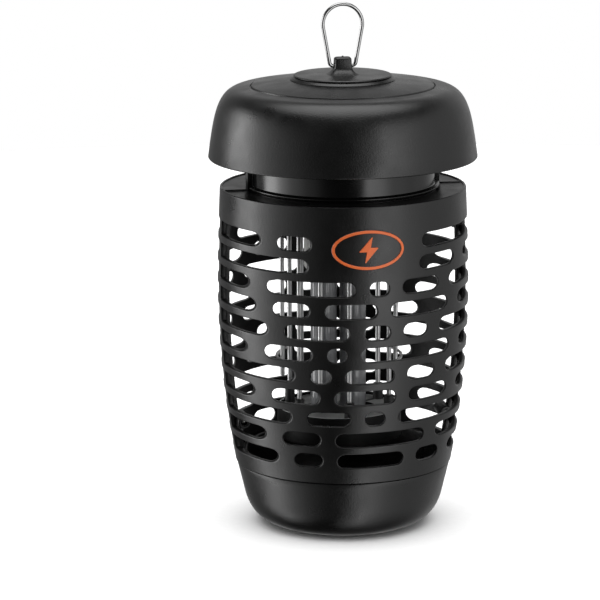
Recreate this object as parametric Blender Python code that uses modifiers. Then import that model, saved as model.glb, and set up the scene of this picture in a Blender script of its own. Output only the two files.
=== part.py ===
"""Lantern-shaped electric bug zapper, built from separate pieces.

Metres, +Z up. The origin is the centre of the flat underside of the tray.
The front, which carries the badge, faces -Y, and +X is on the right seen from the front.
The hanging wire turns about the X axis of its lug, and the tray pulls straight down.
"""

import math

import bmesh
import bpy
from mathutils import Matrix, Vector

GAP = 0.0003                      # clearance between pieces that touch
BEYOND = 0.08                     # further from the axis than any piece, for the ends of cutters

# Tray: a round bowl that catches the insects.
TRAY_FOOT_R = 0.030
TRAY_WALL_LOW = (0.0484, 0.015)   # radius and height where the corner meets the wall
TRAY_RIM_R = 0.0522
TRAY_RIM_Z = 0.0307
TRAY_WALL = 0.0022
SPIGOT_R = 0.0494
SPIGOT_TOP = 0.036

# Cage: two identical halves that meet in the plane Y = 0.
CAGE_BOTTOM = 0.031
CAGE_TOP = 0.166
CAGE_WALL = 0.0025
CAGE_WIDEST_Z = 0.118
CAGE_WIDEST_R = 0.0608
CAGE_BOTTOM_R = 0.0526
CAGE_TOP_R = 0.0594
CAGE_CURVE_DOWN = 2.1             # how sharply the radius falls below the widest ring
CAGE_CURVE_UP = 1.6
CAGE_SKIRT_Z = 0.0375             # the ring under the lowest slots
CAGE_SEGMENTS = 32
SHELF_THICKNESS = 0.0025
SHELF_HOLE_R = 0.0449
SEAM_BAR = 0.0022                 # width of the bar beside the seam
SEAM_RIB = 0.0020
SEAM_RIB_DEPTH = 0.0047

# Slots: straight through along Y, with round ends, in rows of one pitch.
ROW_TOP_Z = 0.1479
ROW_PITCH = 0.01055
SLOT_HEIGHT = 0.0070
WEB_WIDTH = 0.0066
PANEL_WIDTH = 0.053               # blank field for the badge, in the two top rows
PANELS = {0: 0.0005, 1: -0.0010}
WEBS = (
    (-0.0437,),
    (0.0488,),
    (-0.0481, -0.0028, 0.0135, 0.0394),
    (-0.0458, -0.0236, 0.0076, 0.0448),
    (-0.0412, -0.0054, 0.0141, 0.0334),
    (-0.0491, -0.0225, -0.0067, 0.0459),
    (-0.0299, -0.0140, 0.0163, 0.0376),
    (-0.0460, -0.0189, 0.0172, 0.0449),
    (-0.0309, -0.0045, 0.0120),
    (-0.0410, -0.0180, 0.0327),
    (-0.0358, -0.0168, 0.0221, 0.0413),
)

# Seam screws, through bosses inside the cage.
SEAM_SCREWS = ((0.0502, 0.052), (0.0532, 0.157))
SEAM_BOSS_R = 0.0032
SEAM_BOSS_LENGTH = 0.007

# Neck: the round housing of the circuit, held in the shelf of the cage.
NECK_R = 0.0442
NECK_WALL = 0.0024
NECK_TOP = 0.2111
NECK_FOOT_R = 0.0465              # bead that rests on the shelf
NECK_FOOT_RISE = (0.0010, 0.0014)
NECK_GROOVE_R = 0.0446
NECK_FLANGE_R = 0.0475
NECK_FLANGE_Z = 0.1608
NECK_BOSS_RING = 0.038
NECK_BOSS_R = 0.0045
BOARD_SEAT_Z = 0.172
BOARD_FLAT_Y = 0.0385             # straight back edge of the board, clear of the cord gland
CAP_LUG_Z = (0.185, 0.1957)
PILOT_R = 0.0016

# Circuit board, and what stands on it: two corners, or a centre and a radius, and the height.
BOARD_R = 0.0405
BOARD_THICKNESS = 0.0016
BOARD_WINDOW = ((-0.006, -0.002), (0.006, 0.006))
BOXY_PARTS = {
    "transformer": ((-0.013, -0.024), (0.009, -0.006), 0.016),
    "film_capacitor": ((0.013, -0.016), (0.020, -0.002), 0.011),
}
ROUND_PARTS = {
    "tall_capacitor": ((-0.020, 0.012), 0.0052, 0.015),
    "small_capacitor": ((0.014, 0.016), 0.0042, 0.012),
}
LEAD_R = 0.0007

# Screws: head radius and height, shank radius and length.
CAGE_SCREW = (0.0028, 0.0016, 0.0013, 0.0120)
BOARD_SCREW = (0.0026, 0.0014, 0.0012, 0.0050)
PLATE_SCREW = (0.0028, 0.0016, 0.0012, 0.0085)
CAP_SCREW = (0.0030, 0.0018, 0.0012, 0.0180)
HANGER_SCREW = (0.0062, 0.0016, 0.0012, 0.0030)

# Cap: a dome over the neck.
CAP_RIM_R = 0.065
CAP_RIM_Z = 0.180
CAP_SIDE_LEAN = 0.148             # the side leans in by this share of its height
CAP_SHOULDER_Z = 0.1874           # where the side turns into the dome
CAP_CROWN = (0.0470, 0.2143)      # radius and height where the dome ends
CAP_DOME_PULL = (0.016, 0.0123)   # lengths of the two handles of the dome's curve
CAP_VALLEY = (0.0462, 0.2138)     # bottom of the groove between the dome and the step
CAP_STEP_R = 0.0434
CAP_STEP_Z = 0.2158
CAP_TOP_Z = 0.2176
CAP_UNDER_TOP = 0.2150            # underside of the middle, and how far out it is flat
CAP_UNDER_R = 0.0250
CAP_SEAT_R = (0.0410, 0.0460)     # ring under the crown that rests on the neck
CAP_WALL = 0.0024
CAP_POST_R = 0.0034
CAP_POST_TOP = 0.2135
CAP_SCREW_END = 0.206
CAP_SEGMENTS = 36

# Hanger: plate with a lug, and the wire loop.
PLATE_R = 0.0238
PLATE_FOOT_R = 0.0254
PLATE_TOP = 0.220
LUG_WIDTH = 0.0083
LUG_DEPTH = 0.0056
LUG_TOP = 0.2283
WIRE_AXIS_Z = 0.2240
WIRE_R = 0.0009
WIRE_HOLE_R = 0.0014
WIRE_TOP_Z = 0.2545
WIRE_HALF_WIDTH = 0.0105
WIRE_FOOT_X = 0.0064
HANGER_SCREW_X = 0.014
HANGER_BOSS_R = 0.0042

# Grid and lamp, on an axis of their own just left of the middle.
GRID_X = -0.0020
OUTER_RING_R = 0.0281
INNER_RING_R = 0.0255
ROD_R = 0.00115
ROD_HOLE_R = 0.0015
OUTER_ROD_END = 0.073
INNER_ROD_END = 0.0525
UPPER_PLATE_R = 0.0473
UPPER_PLATE_Z = (0.1576, 0.1605)
LOWER_PLATE_R = 0.0302
LOWER_PLATE_TOP = 0.056
LOWER_SKIRT_END = 0.043
LOWER_WALL = 0.0018
LOWER_RAISED_RIM = (0.0012, 0.0014)       # width and height
ROD_BOSS_R = 0.0024
ROD_BOSS_HEIGHT = 0.008
LAMP_WINDOW = (0.0085, 0.0095)    # half the straight length, and the radius of the round ends
OUTER_BUS_R = (0.0269, 0.0294)
INNER_BUS_R = (0.0243, 0.0266)
BUS_THICKNESS = 0.001
TIE_RING_Z = 0.082
TIE_RING_R = 0.03035
TIE_RING_WIRE_R = 0.0007
LAMP_X = -0.0024
LAMP_TUBE_R = 0.0064
LAMP_TUBE_SPACING = 0.0144
LAMP_BEND_Z = 0.059
LAMP_BASE_Z = (0.124, 0.141)
LAMP_BASE_HALF = (0.016, 0.0095)
LAMP_PIN_X = 0.0115
LAMP_PIN_R = 0.0011
LAMP_PIN_LENGTH = 0.0068
SOCKET_MARGIN = 0.001             # how far the socket stands out beyond the lamp base
SOCKET_NECK_HALF = (0.009, 0.005)
SOCKET_NECK_TOP = 0.163

# Badge and cord gland.
BADGE_Z = 0.1451
BADGE_HALF = (0.0174, 0.0095)
BADGE_THICKNESS = 0.0008
GLAND_Z = 0.1734
GLAND_R = 0.0056
GLAND_HOLE_R = 0.0032


# ---------------------------------------------------------------- scene and helpers

def clear_scene():
    """Remove whatever the file starts with."""
    for item in list(bpy.data.objects):
        bpy.data.objects.remove(item, do_unlink=True)


def new_collection(name):
    """A collection linked to the scene."""
    collection = bpy.data.collections.new(name)
    bpy.context.scene.collection.children.link(collection)
    return collection


def new_empty(name, location):
    """An empty that carries the pieces of one body."""
    empty = bpy.data.objects.new(name, None)
    empty.location = location
    empty.empty_display_size = 0.02
    PARTS.objects.link(empty)
    return empty


def new_material(name, colour, roughness, metallic=0.0):
    """One Principled material."""
    material = bpy.data.materials.new(name)
    material.use_nodes = True
    shader = material.node_tree.nodes["Principled BSDF"]
    shader.inputs["Base Color"].default_value = (*colour, 1.0)
    shader.inputs["Roughness"].default_value = roughness
    shader.inputs["Metallic"].default_value = metallic
    return material


def black_plastic():
    return new_material("black_plastic", (0.022, 0.023, 0.023), 0.5)


def gloss_plastic():
    return new_material("gloss_black_plastic", (0.012, 0.012, 0.012), 0.25)


def dark_insulator():
    return new_material("dark_insulator", (0.02, 0.02, 0.021), 0.6)


def bright_steel():
    return new_material("bright_steel", (0.62, 0.62, 0.63), 0.25, 1.0)


def zinc_steel():
    return new_material("zinc_steel", (0.5, 0.5, 0.48), 0.4, 1.0)


def lamp_glass():
    return new_material("lamp_glass", (0.33, 0.34, 0.36), 0.15)


def white_plastic():
    return new_material("white_plastic", (0.7, 0.7, 0.68), 0.45)


def board_laminate():
    return new_material("board_laminate", (0.30, 0.22, 0.08), 0.6)


def component_plastic():
    return new_material("component_plastic", (0.05, 0.08, 0.22), 0.4)


def lead_insulation():
    return new_material("lead_insulation", (0.45, 0.06, 0.04), 0.5)


def soft_rubber():
    return new_material("black_rubber", (0.015, 0.015, 0.015), 0.8)


def badge_orange():
    return new_material("badge_orange", (0.80, 0.14, 0.03), 0.45)


def add_mesh(name, mesh, material, parent=None, location=(0, 0, 0)):
    """Link a mesh as one named piece."""
    piece = bpy.data.objects.new(name, mesh)
    mesh.materials.append(material)
    piece.location = location
    piece.parent = parent
    PARTS.objects.link(piece)
    return piece


def as_tool(piece):
    """Turn a shape into a Boolean tool that isn't a piece of the product."""
    PARTS.objects.unlink(piece)
    TOOLS.objects.link(piece)
    piece.hide_render = True
    piece.display_type = "WIRE"
    return piece


def combine(piece, tool, operation):
    """Add an exact Boolean to a piece."""
    modifier = piece.modifiers.new(operation.lower() + "_" + tool.name, "BOOLEAN")
    modifier.operation = operation
    modifier.object = tool
    modifier.solver = "EXACT"


def turned(name, profile, material, segments, parent=None, location=(0, 0, 0)):
    """A turned shape. The profile lists (radius, height) down the outer side and up the inner one."""
    mesh = bpy.data.meshes.new(name)
    last = len(profile) - 1
    edges = [(i, i + 1) for i in range(last)]
    if profile[0][0] > 0:
        edges.append((last, 0))
    mesh.from_pydata([(r, 0, z) for r, z in profile], edges, [])
    piece = add_mesh(name, mesh, material, parent, location)
    screw = piece.modifiers.new("turn", "SCREW")
    screw.axis = "Z"
    screw.steps = segments
    screw.render_steps = segments
    screw.use_merge_vertices = True
    screw.merge_threshold = 0.00001
    screw.use_smooth_shade = True
    return piece


def mesh_from(name, build):
    """A mesh made by a function that fills a bmesh."""
    mesh = bpy.data.meshes.new(name)
    shape = bmesh.new()
    build(shape)
    bmesh.ops.recalc_face_normals(shape, faces=shape.faces)
    shape.to_mesh(mesh)
    shape.free()
    return mesh


def put_cylinder(shape, radius, start, end, sides=12):
    """Add a capped cylinder between two points to a bmesh."""
    start = Vector(start)
    along = Vector(end) - start
    turn = along.to_track_quat("Z", "Y").to_matrix().to_4x4()
    place = Matrix.Translation(start + along / 2) @ turn
    bmesh.ops.create_cone(shape, cap_ends=True, segments=sides, radius1=radius, radius2=radius,
                          depth=along.length, matrix=place)


def put_block(shape, low, high):
    """Add a box between two corners to a bmesh."""
    low = Vector(low)
    high = Vector(high)
    size = Matrix.Diagonal((*(high - low), 1.0))
    bmesh.ops.create_cube(shape, size=1.0, matrix=Matrix.Translation((low + high) / 2) @ size)


def cylinder(name, radius, start, end, material, parent, sides=12):
    """A round bar as a piece."""
    mesh = mesh_from(name, lambda shape: put_cylinder(shape, radius, start, end, sides))
    mesh.shade_smooth()
    mesh.set_sharp_from_angle(angle=math.radians(40))
    return add_mesh(name, mesh, material, parent)


def block(name, low, high, material, parent, bevel=0.0):
    """A box with rounded edges as a piece."""
    piece = add_mesh(name, mesh_from(name, lambda shape: put_block(shape, low, high)), material, parent)
    if bevel:
        rounding = piece.modifiers.new("rounding", "BEVEL")
        rounding.width = bevel
        rounding.segments = 2
    return piece


def cylinders_tool(name, radius, spans, sides=12):
    """Several separate cylinders as one Boolean tool."""
    def build(shape):
        for start, end in spans:
            put_cylinder(shape, radius, start, end, sides)
    return as_tool(add_mesh(name, mesh_from(name, build), TOOL_MATERIAL))


def blocks_tool(name, spans):
    """Several separate boxes as one Boolean tool."""
    def build(shape):
        for low, high in spans:
            put_block(shape, low, high)
    return as_tool(add_mesh(name, mesh_from(name, build), TOOL_MATERIAL))


def circle(radius, sides, centre=(0.0, 0.0)):
    """Points of a circle in the XY plane."""
    turn = 2 * math.pi / sides
    return [(centre[0] + radius * math.cos(k * turn), centre[1] + radius * math.sin(k * turn))
            for k in range(sides)]


def rectangle(low, high):
    """Corners of a rectangle in the XY plane."""
    return [low, (high[0], low[1]), high, (low[0], high[1])]


def flat_plate(name, loops, heights, material, parent):
    """A flat plate from an outline and its holes."""
    curve = bpy.data.curves.new(name, "CURVE")
    curve.dimensions = "2D"
    curve.fill_mode = "BOTH"
    curve.extrude = (heights[1] - heights[0]) / 2
    curve.materials.append(material)
    for loop in loops:
        spline = curve.splines.new("POLY")
        spline.points.add(len(loop) - 1)
        for point, (x, y) in zip(spline.points, loop):
            point.co = (x, y, 0, 1)
        spline.use_cyclic_u = True
    piece = bpy.data.objects.new(name, curve)
    piece.location = (0, 0, (heights[0] + heights[1]) / 2)
    piece.parent = parent
    PARTS.objects.link(piece)
    return piece


def wire(name, points, radius, material, parent, rounding=2):
    """A round wire along a list of points, with closed ends."""
    curve = bpy.data.curves.new(name, "CURVE")
    curve.dimensions = "3D"
    curve.bevel_depth = radius
    curve.bevel_resolution = rounding
    curve.use_fill_caps = True
    curve.materials.append(material)
    spline = curve.splines.new("POLY")
    spline.points.add(len(points) - 1)
    for point, place in zip(spline.points, points):
        point.co = (*place, 1)
    piece = bpy.data.objects.new(name, curve)
    piece.parent = parent
    PARTS.objects.link(piece)
    return piece


def arc(centre, radius, start, end, steps):
    """Points on an arc, as pairs, with the angles in degrees."""
    angles = [math.radians(start + (end - start) * k / steps) for k in range(steps + 1)]
    return [(centre[0] + radius * math.cos(a), centre[1] + radius * math.sin(a)) for a in angles]


def ring_places(radius, count, first=0.0, centre=(0.0, 0.0)):
    """Evenly spaced points on a circle; angles run from the front towards +X."""
    places = []
    for k in range(count):
        angle = math.radians(first + 360 * k / count)
        places.append((centre[0] + radius * math.sin(angle), centre[1] - radius * math.cos(angle)))
    return places


def screw(name, size, location, turn, parent):
    """A screw whose head is at its location and whose shank points down before it is turned."""
    head_r, head_h, shank_r, length = size
    profile = [(0, head_h), (head_r * 0.8, head_h), (head_r, head_h * 0.5), (head_r, 0),
               (shank_r, 0), (shank_r, -length), (0, -length - shank_r * 0.5)]
    piece = turned(name, profile, STEEL, 10, parent, location)
    piece.rotation_euler = turn
    return piece


# ---------------------------------------------------------------- tray

def tray_corner(t):
    """Outer corner of the tray, a curve from the foot to the wall."""
    slope = (TRAY_RIM_R - TRAY_WALL_LOW[0]) / (TRAY_RIM_Z - TRAY_WALL_LOW[1])
    control = (TRAY_WALL_LOW[0] - slope * TRAY_WALL_LOW[1], 0.0)
    r = (1 - t) ** 2 * TRAY_FOOT_R + 2 * t * (1 - t) * control[0] + t * t * TRAY_WALL_LOW[0]
    return r, t * t * TRAY_WALL_LOW[1]


def make_tray(parent):
    """The catch tray, with a spigot that plugs into the cage."""
    steps = 5
    corner = [tray_corner(k / steps) for k in range(steps + 1)]
    outside = [(SPIGOT_R, SPIGOT_TOP), (SPIGOT_R, TRAY_RIM_Z), (TRAY_RIM_R, TRAY_RIM_Z)]
    outside += corner[::-1]
    # Inside, the wall's thickness turns from upright at the foot to sideways at the rim.
    inside = [(0.0, 0.0), (0.0, TRAY_WALL)]
    inside += [(r - TRAY_WALL * (0.3 + 0.7 * k / steps), z + TRAY_WALL * (1 - 0.45 * k / steps))
               for k, (r, z) in enumerate(corner)]
    inside += [(SPIGOT_R - TRAY_WALL, TRAY_RIM_Z - 0.001), (SPIGOT_R - TRAY_WALL, SPIGOT_TOP)]
    profile = outside + inside
    axis = profile.index((0.0, 0.0))
    return turned("tray", profile[axis + 1:] + profile[:axis + 1], BLACK, 36, parent)


# ---------------------------------------------------------------- cage

def cage_radius(z):
    """Outer radius of the cage at a height."""
    if z < CAGE_WIDEST_Z:
        share = (CAGE_WIDEST_Z - z) / (CAGE_WIDEST_Z - CAGE_BOTTOM)
        return CAGE_WIDEST_R - (CAGE_WIDEST_R - CAGE_BOTTOM_R) * share ** CAGE_CURVE_DOWN
    share = (z - CAGE_WIDEST_Z) / (CAGE_TOP - CAGE_WIDEST_Z)
    return CAGE_WIDEST_R - (CAGE_WIDEST_R - CAGE_TOP_R) * share ** CAGE_CURVE_UP


def cage_heights():
    """Heights of the rings of the cage: its ends, and the middle of every third rib."""
    rib = ROW_TOP_Z - ROW_PITCH / 2
    ribs = [rib - ROW_PITCH * k for k in (1, 4, 7)]
    return [CAGE_TOP] + ribs + [CAGE_SKIRT_Z, CAGE_BOTTOM]


def cage_ring_profile():
    """Closed section of the cage, down the outside and up the inside."""
    heights = cage_heights()
    outside = [(cage_radius(z), z) for z in heights]
    inside = [(cage_radius(z) - CAGE_WALL, z) for z in heights[:0:-1]]
    shelf = CAGE_TOP - SHELF_THICKNESS
    top = [(cage_radius(shelf) - CAGE_WALL, shelf), (SHELF_HOLE_R, shelf), (SHELF_HOLE_R, CAGE_TOP)]
    return outside + inside + top


def row_slots(row):
    """Left and right ends of the slots of a row, with None where a slot runs to the seam."""
    closed = [(x - WEB_WIDTH / 2, x + WEB_WIDTH / 2) for x in WEBS[row]]
    if row in PANELS:
        closed.append((PANELS[row] - PANEL_WIDTH / 2, PANELS[row] + PANEL_WIDTH / 2))
    closed.sort()
    starts = [None] + [right for _, right in closed]
    ends = [left for left, _ in closed] + [None]
    return list(zip(starts, ends))


def slot_outline(left, right, z):
    """Outline of one slot seen along Y. An end at the seam is square and lies outside the cage."""
    half = SLOT_HEIGHT / 2
    if right is None:
        points = [(BEYOND, z - half), (BEYOND, z + half)]
    else:
        points = arc((right - half, z), half, -90, 90, 3)
    if left is None:
        points += [(-BEYOND, z + half), (-BEYOND, z - half)]
    else:
        points += arc((left + half, z), half, 90, 270, 3)
    return points


def put_prism(shape, outline, y_from, y_to):
    """Add an XZ outline, extruded along Y, to a bmesh."""
    corners = [shape.verts.new((x, y_from, z)) for x, z in outline]
    face = shape.faces.new(corners)
    moved = bmesh.ops.extrude_face_region(shape, geom=[face])["geom"]
    verts = [item for item in moved if isinstance(item, bmesh.types.BMVert)]
    bmesh.ops.translate(shape, verts=verts, vec=(0, y_to - y_from, 0))


def slots_tool(name, turn):
    """All the slots of one cage half as one tool."""
    def build(shape):
        for row in range(len(WEBS)):
            for left, right in row_slots(row):
                outline = slot_outline(left, right, ROW_TOP_Z - ROW_PITCH * row)
                put_prism(shape, outline, -BEYOND, -SEAM_BAR)
    tool = as_tool(add_mesh(name, mesh_from(name, build), TOOL_MATERIAL))
    tool.rotation_euler = (0, 0, turn)
    return tool


def seam_ribs_tool(name, turn):
    """Ribs and screw bosses that stiffen both edges of one cage half."""
    low = SPIGOT_TOP + 0.002
    high = CAGE_TOP - SHELF_THICKNESS / 2
    heights = [low + (high - low) * k / 8 for k in range(9)]
    outer = [(cage_radius(z) - CAGE_WALL * 0.5, z) for z in heights]
    inner = [(cage_radius(z) - SEAM_RIB_DEPTH, z) for z in reversed(heights)]

    def build(shape):
        for side in (-1, 1):
            put_prism(shape, [(side * x, z) for x, z in outer + inner], -SEAM_RIB, 0.001)
    tool = as_tool(add_mesh(name, mesh_from(name, build), TOOL_MATERIAL))
    tool.rotation_euler = (0, 0, turn)
    return tool


def seam_bosses_tool(name, turn):
    """Round bosses for the seam screws of one cage half."""
    spans = [((side * x, -SEAM_BOSS_LENGTH, z), (side * x, 0.001, z))
             for side in (-1, 1) for x, z in SEAM_SCREWS]
    tool = cylinders_tool(name, SEAM_BOSS_R, spans, 12)
    tool.rotation_euler = (0, 0, turn)
    return tool


def make_cage_half(name, turn, screw_holes, parent):
    """One half of the cage; the rear half is the front half turned about Z."""
    half = turned(name, cage_ring_profile(), BLACK, CAGE_SEGMENTS, parent)
    near = [((-BEYOND, -BEYOND, 0.0), (BEYOND, -GAP / 2, CAGE_TOP + BEYOND))]
    keep = blocks_tool(name + "_half_space", near)
    keep.rotation_euler = (0, 0, turn)
    combine(half, seam_ribs_tool(name + "_ribs", turn), "UNION")
    combine(half, seam_bosses_tool(name + "_bosses", turn), "UNION")
    combine(half, keep, "INTERSECT")
    combine(half, slots_tool(name + "_slots", turn), "DIFFERENCE")
    combine(half, screw_holes, "DIFFERENCE")
    return half


def make_cage(parent):
    """Both halves and the four screws that join them."""
    ends = (-SEAM_BOSS_LENGTH + 0.0015, SEAM_BOSS_LENGTH + 0.001)
    spans = [((side * x, ends[0], z), (side * x, ends[1], z)) for side in (-1, 1) for x, z in SEAM_SCREWS]
    holes = cylinders_tool("seam_screw_holes", PILOT_R + 0.0001, spans, 10)
    make_cage_half("cage_front", 0.0, holes, parent)
    make_cage_half("cage_rear", math.pi, holes, parent)
    number = 1
    for side in (-1, 1):
        for x, z in SEAM_SCREWS:
            place = (side * x, SEAM_BOSS_LENGTH + GAP, z)
            screw(f"cage_screw_{number}", CAGE_SCREW, place, (-math.pi / 2, 0, 0), parent)
            number += 1


# ---------------------------------------------------------------- neck, board and upper plate

def make_neck(parent):
    """The round housing, with a groove for the shelf of the cage and bosses inside."""
    inside = NECK_R - NECK_WALL
    shelf = CAGE_TOP - SHELF_THICKNESS
    profile = [
        (inside, NECK_TOP), (NECK_R, NECK_TOP), (NECK_R, CAGE_TOP + NECK_FOOT_RISE[1]),
        (NECK_FOOT_R, CAGE_TOP + NECK_FOOT_RISE[0]), (NECK_FOOT_R, CAGE_TOP + GAP),
        (NECK_GROOVE_R, CAGE_TOP + GAP),
        (NECK_GROOVE_R, shelf - GAP), (NECK_FLANGE_R, shelf - GAP),
        (NECK_FLANGE_R, NECK_FLANGE_Z), (inside, NECK_FLANGE_Z),
    ]
    neck = turned("neck_housing", profile, GLOSS, 32, parent)
    board_bosses = ring_places(NECK_BOSS_RING, 3, 0.0)
    cap_lugs = ring_places(NECK_BOSS_RING, 3, 60.0)
    low = [((x, y, NECK_FLANGE_Z), (x, y, BOARD_SEAT_Z)) for x, y in board_bosses]
    high = [((x, y, CAP_LUG_Z[0]), (x, y, CAP_LUG_Z[1])) for x, y in cap_lugs]
    combine(neck, cylinders_tool("neck_bosses", NECK_BOSS_R, low + high, 8), "UNION")
    holes = [((x, y, NECK_FLANGE_Z - 0.001), (x, y, BOARD_SEAT_Z + 0.001)) for x, y in board_bosses]
    holes += [((x, y, CAP_LUG_Z[0] - 0.001), (x, y, CAP_LUG_Z[1] + 0.001)) for x, y in cap_lugs]
    combine(neck, cylinders_tool("neck_boss_holes", PILOT_R, holes, 10), "DIFFERENCE")
    gland = [((0, NECK_R - 0.005, GLAND_Z), (0, NECK_R + 0.002, GLAND_Z))]
    combine(neck, cylinders_tool("gland_hole", GLAND_R - 0.0007, gland, 16), "DIFFERENCE")


def make_gland(parent):
    """Rubber grommet in the back of the neck, where the supply cord goes in."""
    groove = GLAND_R - 0.0007 - GAP
    wall = NECK_WALL / 2 + GAP + 0.0003
    end = wall + 0.0012
    profile = [(GLAND_HOLE_R, end), (GLAND_R, end), (GLAND_R, wall), (groove, wall),
               (groove, -wall), (GLAND_R, -wall), (GLAND_R, -end), (GLAND_HOLE_R, -end)]
    gland = turned("cord_gland", profile, RUBBER, 16, parent, (0, NECK_R - NECK_WALL / 2, GLAND_Z))
    gland.rotation_euler = (-math.pi / 2, 0, 0)


def make_board(parent):
    """Circuit board on the bosses of the neck, with its components and screws."""
    low = BOARD_SEAT_Z + GAP
    top = low + BOARD_THICKNESS
    places = ring_places(NECK_BOSS_RING, 3, 0.0)
    holes = [circle(PILOT_R, 8, place) for place in places]
    outline = [(x, min(y, BOARD_FLAT_Y)) for x, y in circle(BOARD_R, 36)]
    window = rectangle(*BOARD_WINDOW)
    flat_plate("circuit_board", [outline] + holes + [window], (low, top), BOARD, parent)
    for number, (x, y) in enumerate(places, 1):
        place = (x, y, top + GAP)
        screw(f"board_screw_{number}", BOARD_SCREW, place, (0, 0, 0), parent)
    seat = top + GAP
    for name, (corner, far_corner, height) in BOXY_PARTS.items():
        block(name, (*corner, seat), (*far_corner, seat + height), COMPONENT, parent, 0.001)
    for name, (centre, radius, height) in ROUND_PARTS.items():
        cylinder(name, radius, (*centre, seat), (*centre, seat + height), COMPONENT, parent, 16)


def rod_places():
    """Places of the grid rods: the outer ones between the inner ones."""
    centre = (GRID_X, 0.0)
    outer = ring_places(OUTER_RING_R, 6, 30.0, centre)
    inner = ring_places(INNER_RING_R, 6, 0.0, centre)
    return outer, inner


def make_upper_plate(parent):
    """Insulating plate that closes the neck and holds the grid and the lamp socket."""
    outer, inner = rod_places()
    holes = [circle(ROD_HOLE_R, 6, place) for place in outer + inner]
    screw_places = ring_places(NECK_BOSS_RING, 3, 0.0)
    holes += [circle(PILOT_R, 8, place) for place in screw_places]
    half_x = SOCKET_NECK_HALF[0] + GAP
    half_y = SOCKET_NECK_HALF[1] + GAP
    window = rectangle((LAMP_X - half_x, -half_y), (LAMP_X + half_x, half_y))
    loops = [circle(UPPER_PLATE_R, 36)] + holes + [window]
    flat_plate("upper_grid_plate", loops, UPPER_PLATE_Z, INSULATOR, parent)
    for number, (x, y) in enumerate(screw_places, 1):
        place = (x, y, UPPER_PLATE_Z[0] - GAP)
        screw(f"plate_screw_{number}", PLATE_SCREW, place, (math.pi, 0, 0), parent)


# ---------------------------------------------------------------- cap and hanger

def cap_dome(crown, inset, steps):
    """Points of the dome from the crown down to the shoulder, on a cubic curve."""
    shoulder = Vector((CAP_RIM_R - inset - CAP_SIDE_LEAN * (CAP_SHOULDER_Z - CAP_RIM_Z), CAP_SHOULDER_Z))
    top = Vector(crown)
    up = Vector((-CAP_SIDE_LEAN, 1.0)).normalized() * (CAP_DOME_PULL[0] - inset / 2)
    out = Vector((1.0, 0.0)) * (CAP_DOME_PULL[1] - inset / 2)
    points = []
    for k in range(steps + 1):
        t = k / steps
        point = (1 - t) ** 3 * top + 3 * t * (1 - t) ** 2 * (top + out)
        point += 3 * t * t * (1 - t) * (shoulder + up) + t ** 3 * shoulder
        points.append(tuple(point))
    return points


def make_cap(parent):
    """The dome, its posts for the cap screws and the two holes for the hanger."""
    seat = NECK_TOP + GAP
    outside = [(0, CAP_TOP_Z), (PLATE_FOOT_R, CAP_TOP_Z), (CAP_STEP_R, CAP_STEP_Z), CAP_VALLEY]
    outside += cap_dome(CAP_CROWN, 0.0, 7)
    outside += [(CAP_RIM_R, CAP_RIM_Z)]
    inside = [(CAP_RIM_R - CAP_WALL, CAP_RIM_Z)]
    inside += cap_dome((CAP_SEAT_R[1], seat), CAP_WALL, 6)[::-1]
    inside += [(CAP_SEAT_R[0], seat), (CAP_SEAT_R[0] - 0.0005, seat + 0.0018),
               (CAP_UNDER_R, CAP_UNDER_TOP), (0, CAP_UNDER_TOP)]
    cap = turned("cap", outside + inside, BLACK, CAP_SEGMENTS, parent)
    posts = ring_places(NECK_BOSS_RING - 0.0008, 3, 60.0)
    solid = [((x, y, CAP_LUG_Z[1] + GAP), (x, y, CAP_POST_TOP)) for x, y in posts]
    combine(cap, cylinders_tool("cap_posts", CAP_POST_R, solid, 8), "UNION")
    lugs = ring_places(NECK_BOSS_RING, 3, 60.0)
    holes = [((x, y, CAP_LUG_Z[1] - 0.001), (x, y, CAP_SCREW_END)) for x, y in lugs]
    combine(cap, cylinders_tool("cap_post_holes", PILOT_R, holes, 10), "DIFFERENCE")
    through = [((x, 0, CAP_UNDER_TOP - 0.001), (x, 0, CAP_TOP_Z + 0.001)) for x in
               (-HANGER_SCREW_X, HANGER_SCREW_X)]
    combine(cap, cylinders_tool("hanger_boss_holes", HANGER_BOSS_R + 0.0004, through), "DIFFERENCE")
    for number, (x, y) in enumerate(lugs, 1):
        place = (x, y, CAP_LUG_Z[0] - GAP)
        screw(f"cap_screw_{number}", CAP_SCREW, place, (math.pi, 0, 0), parent)


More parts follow.
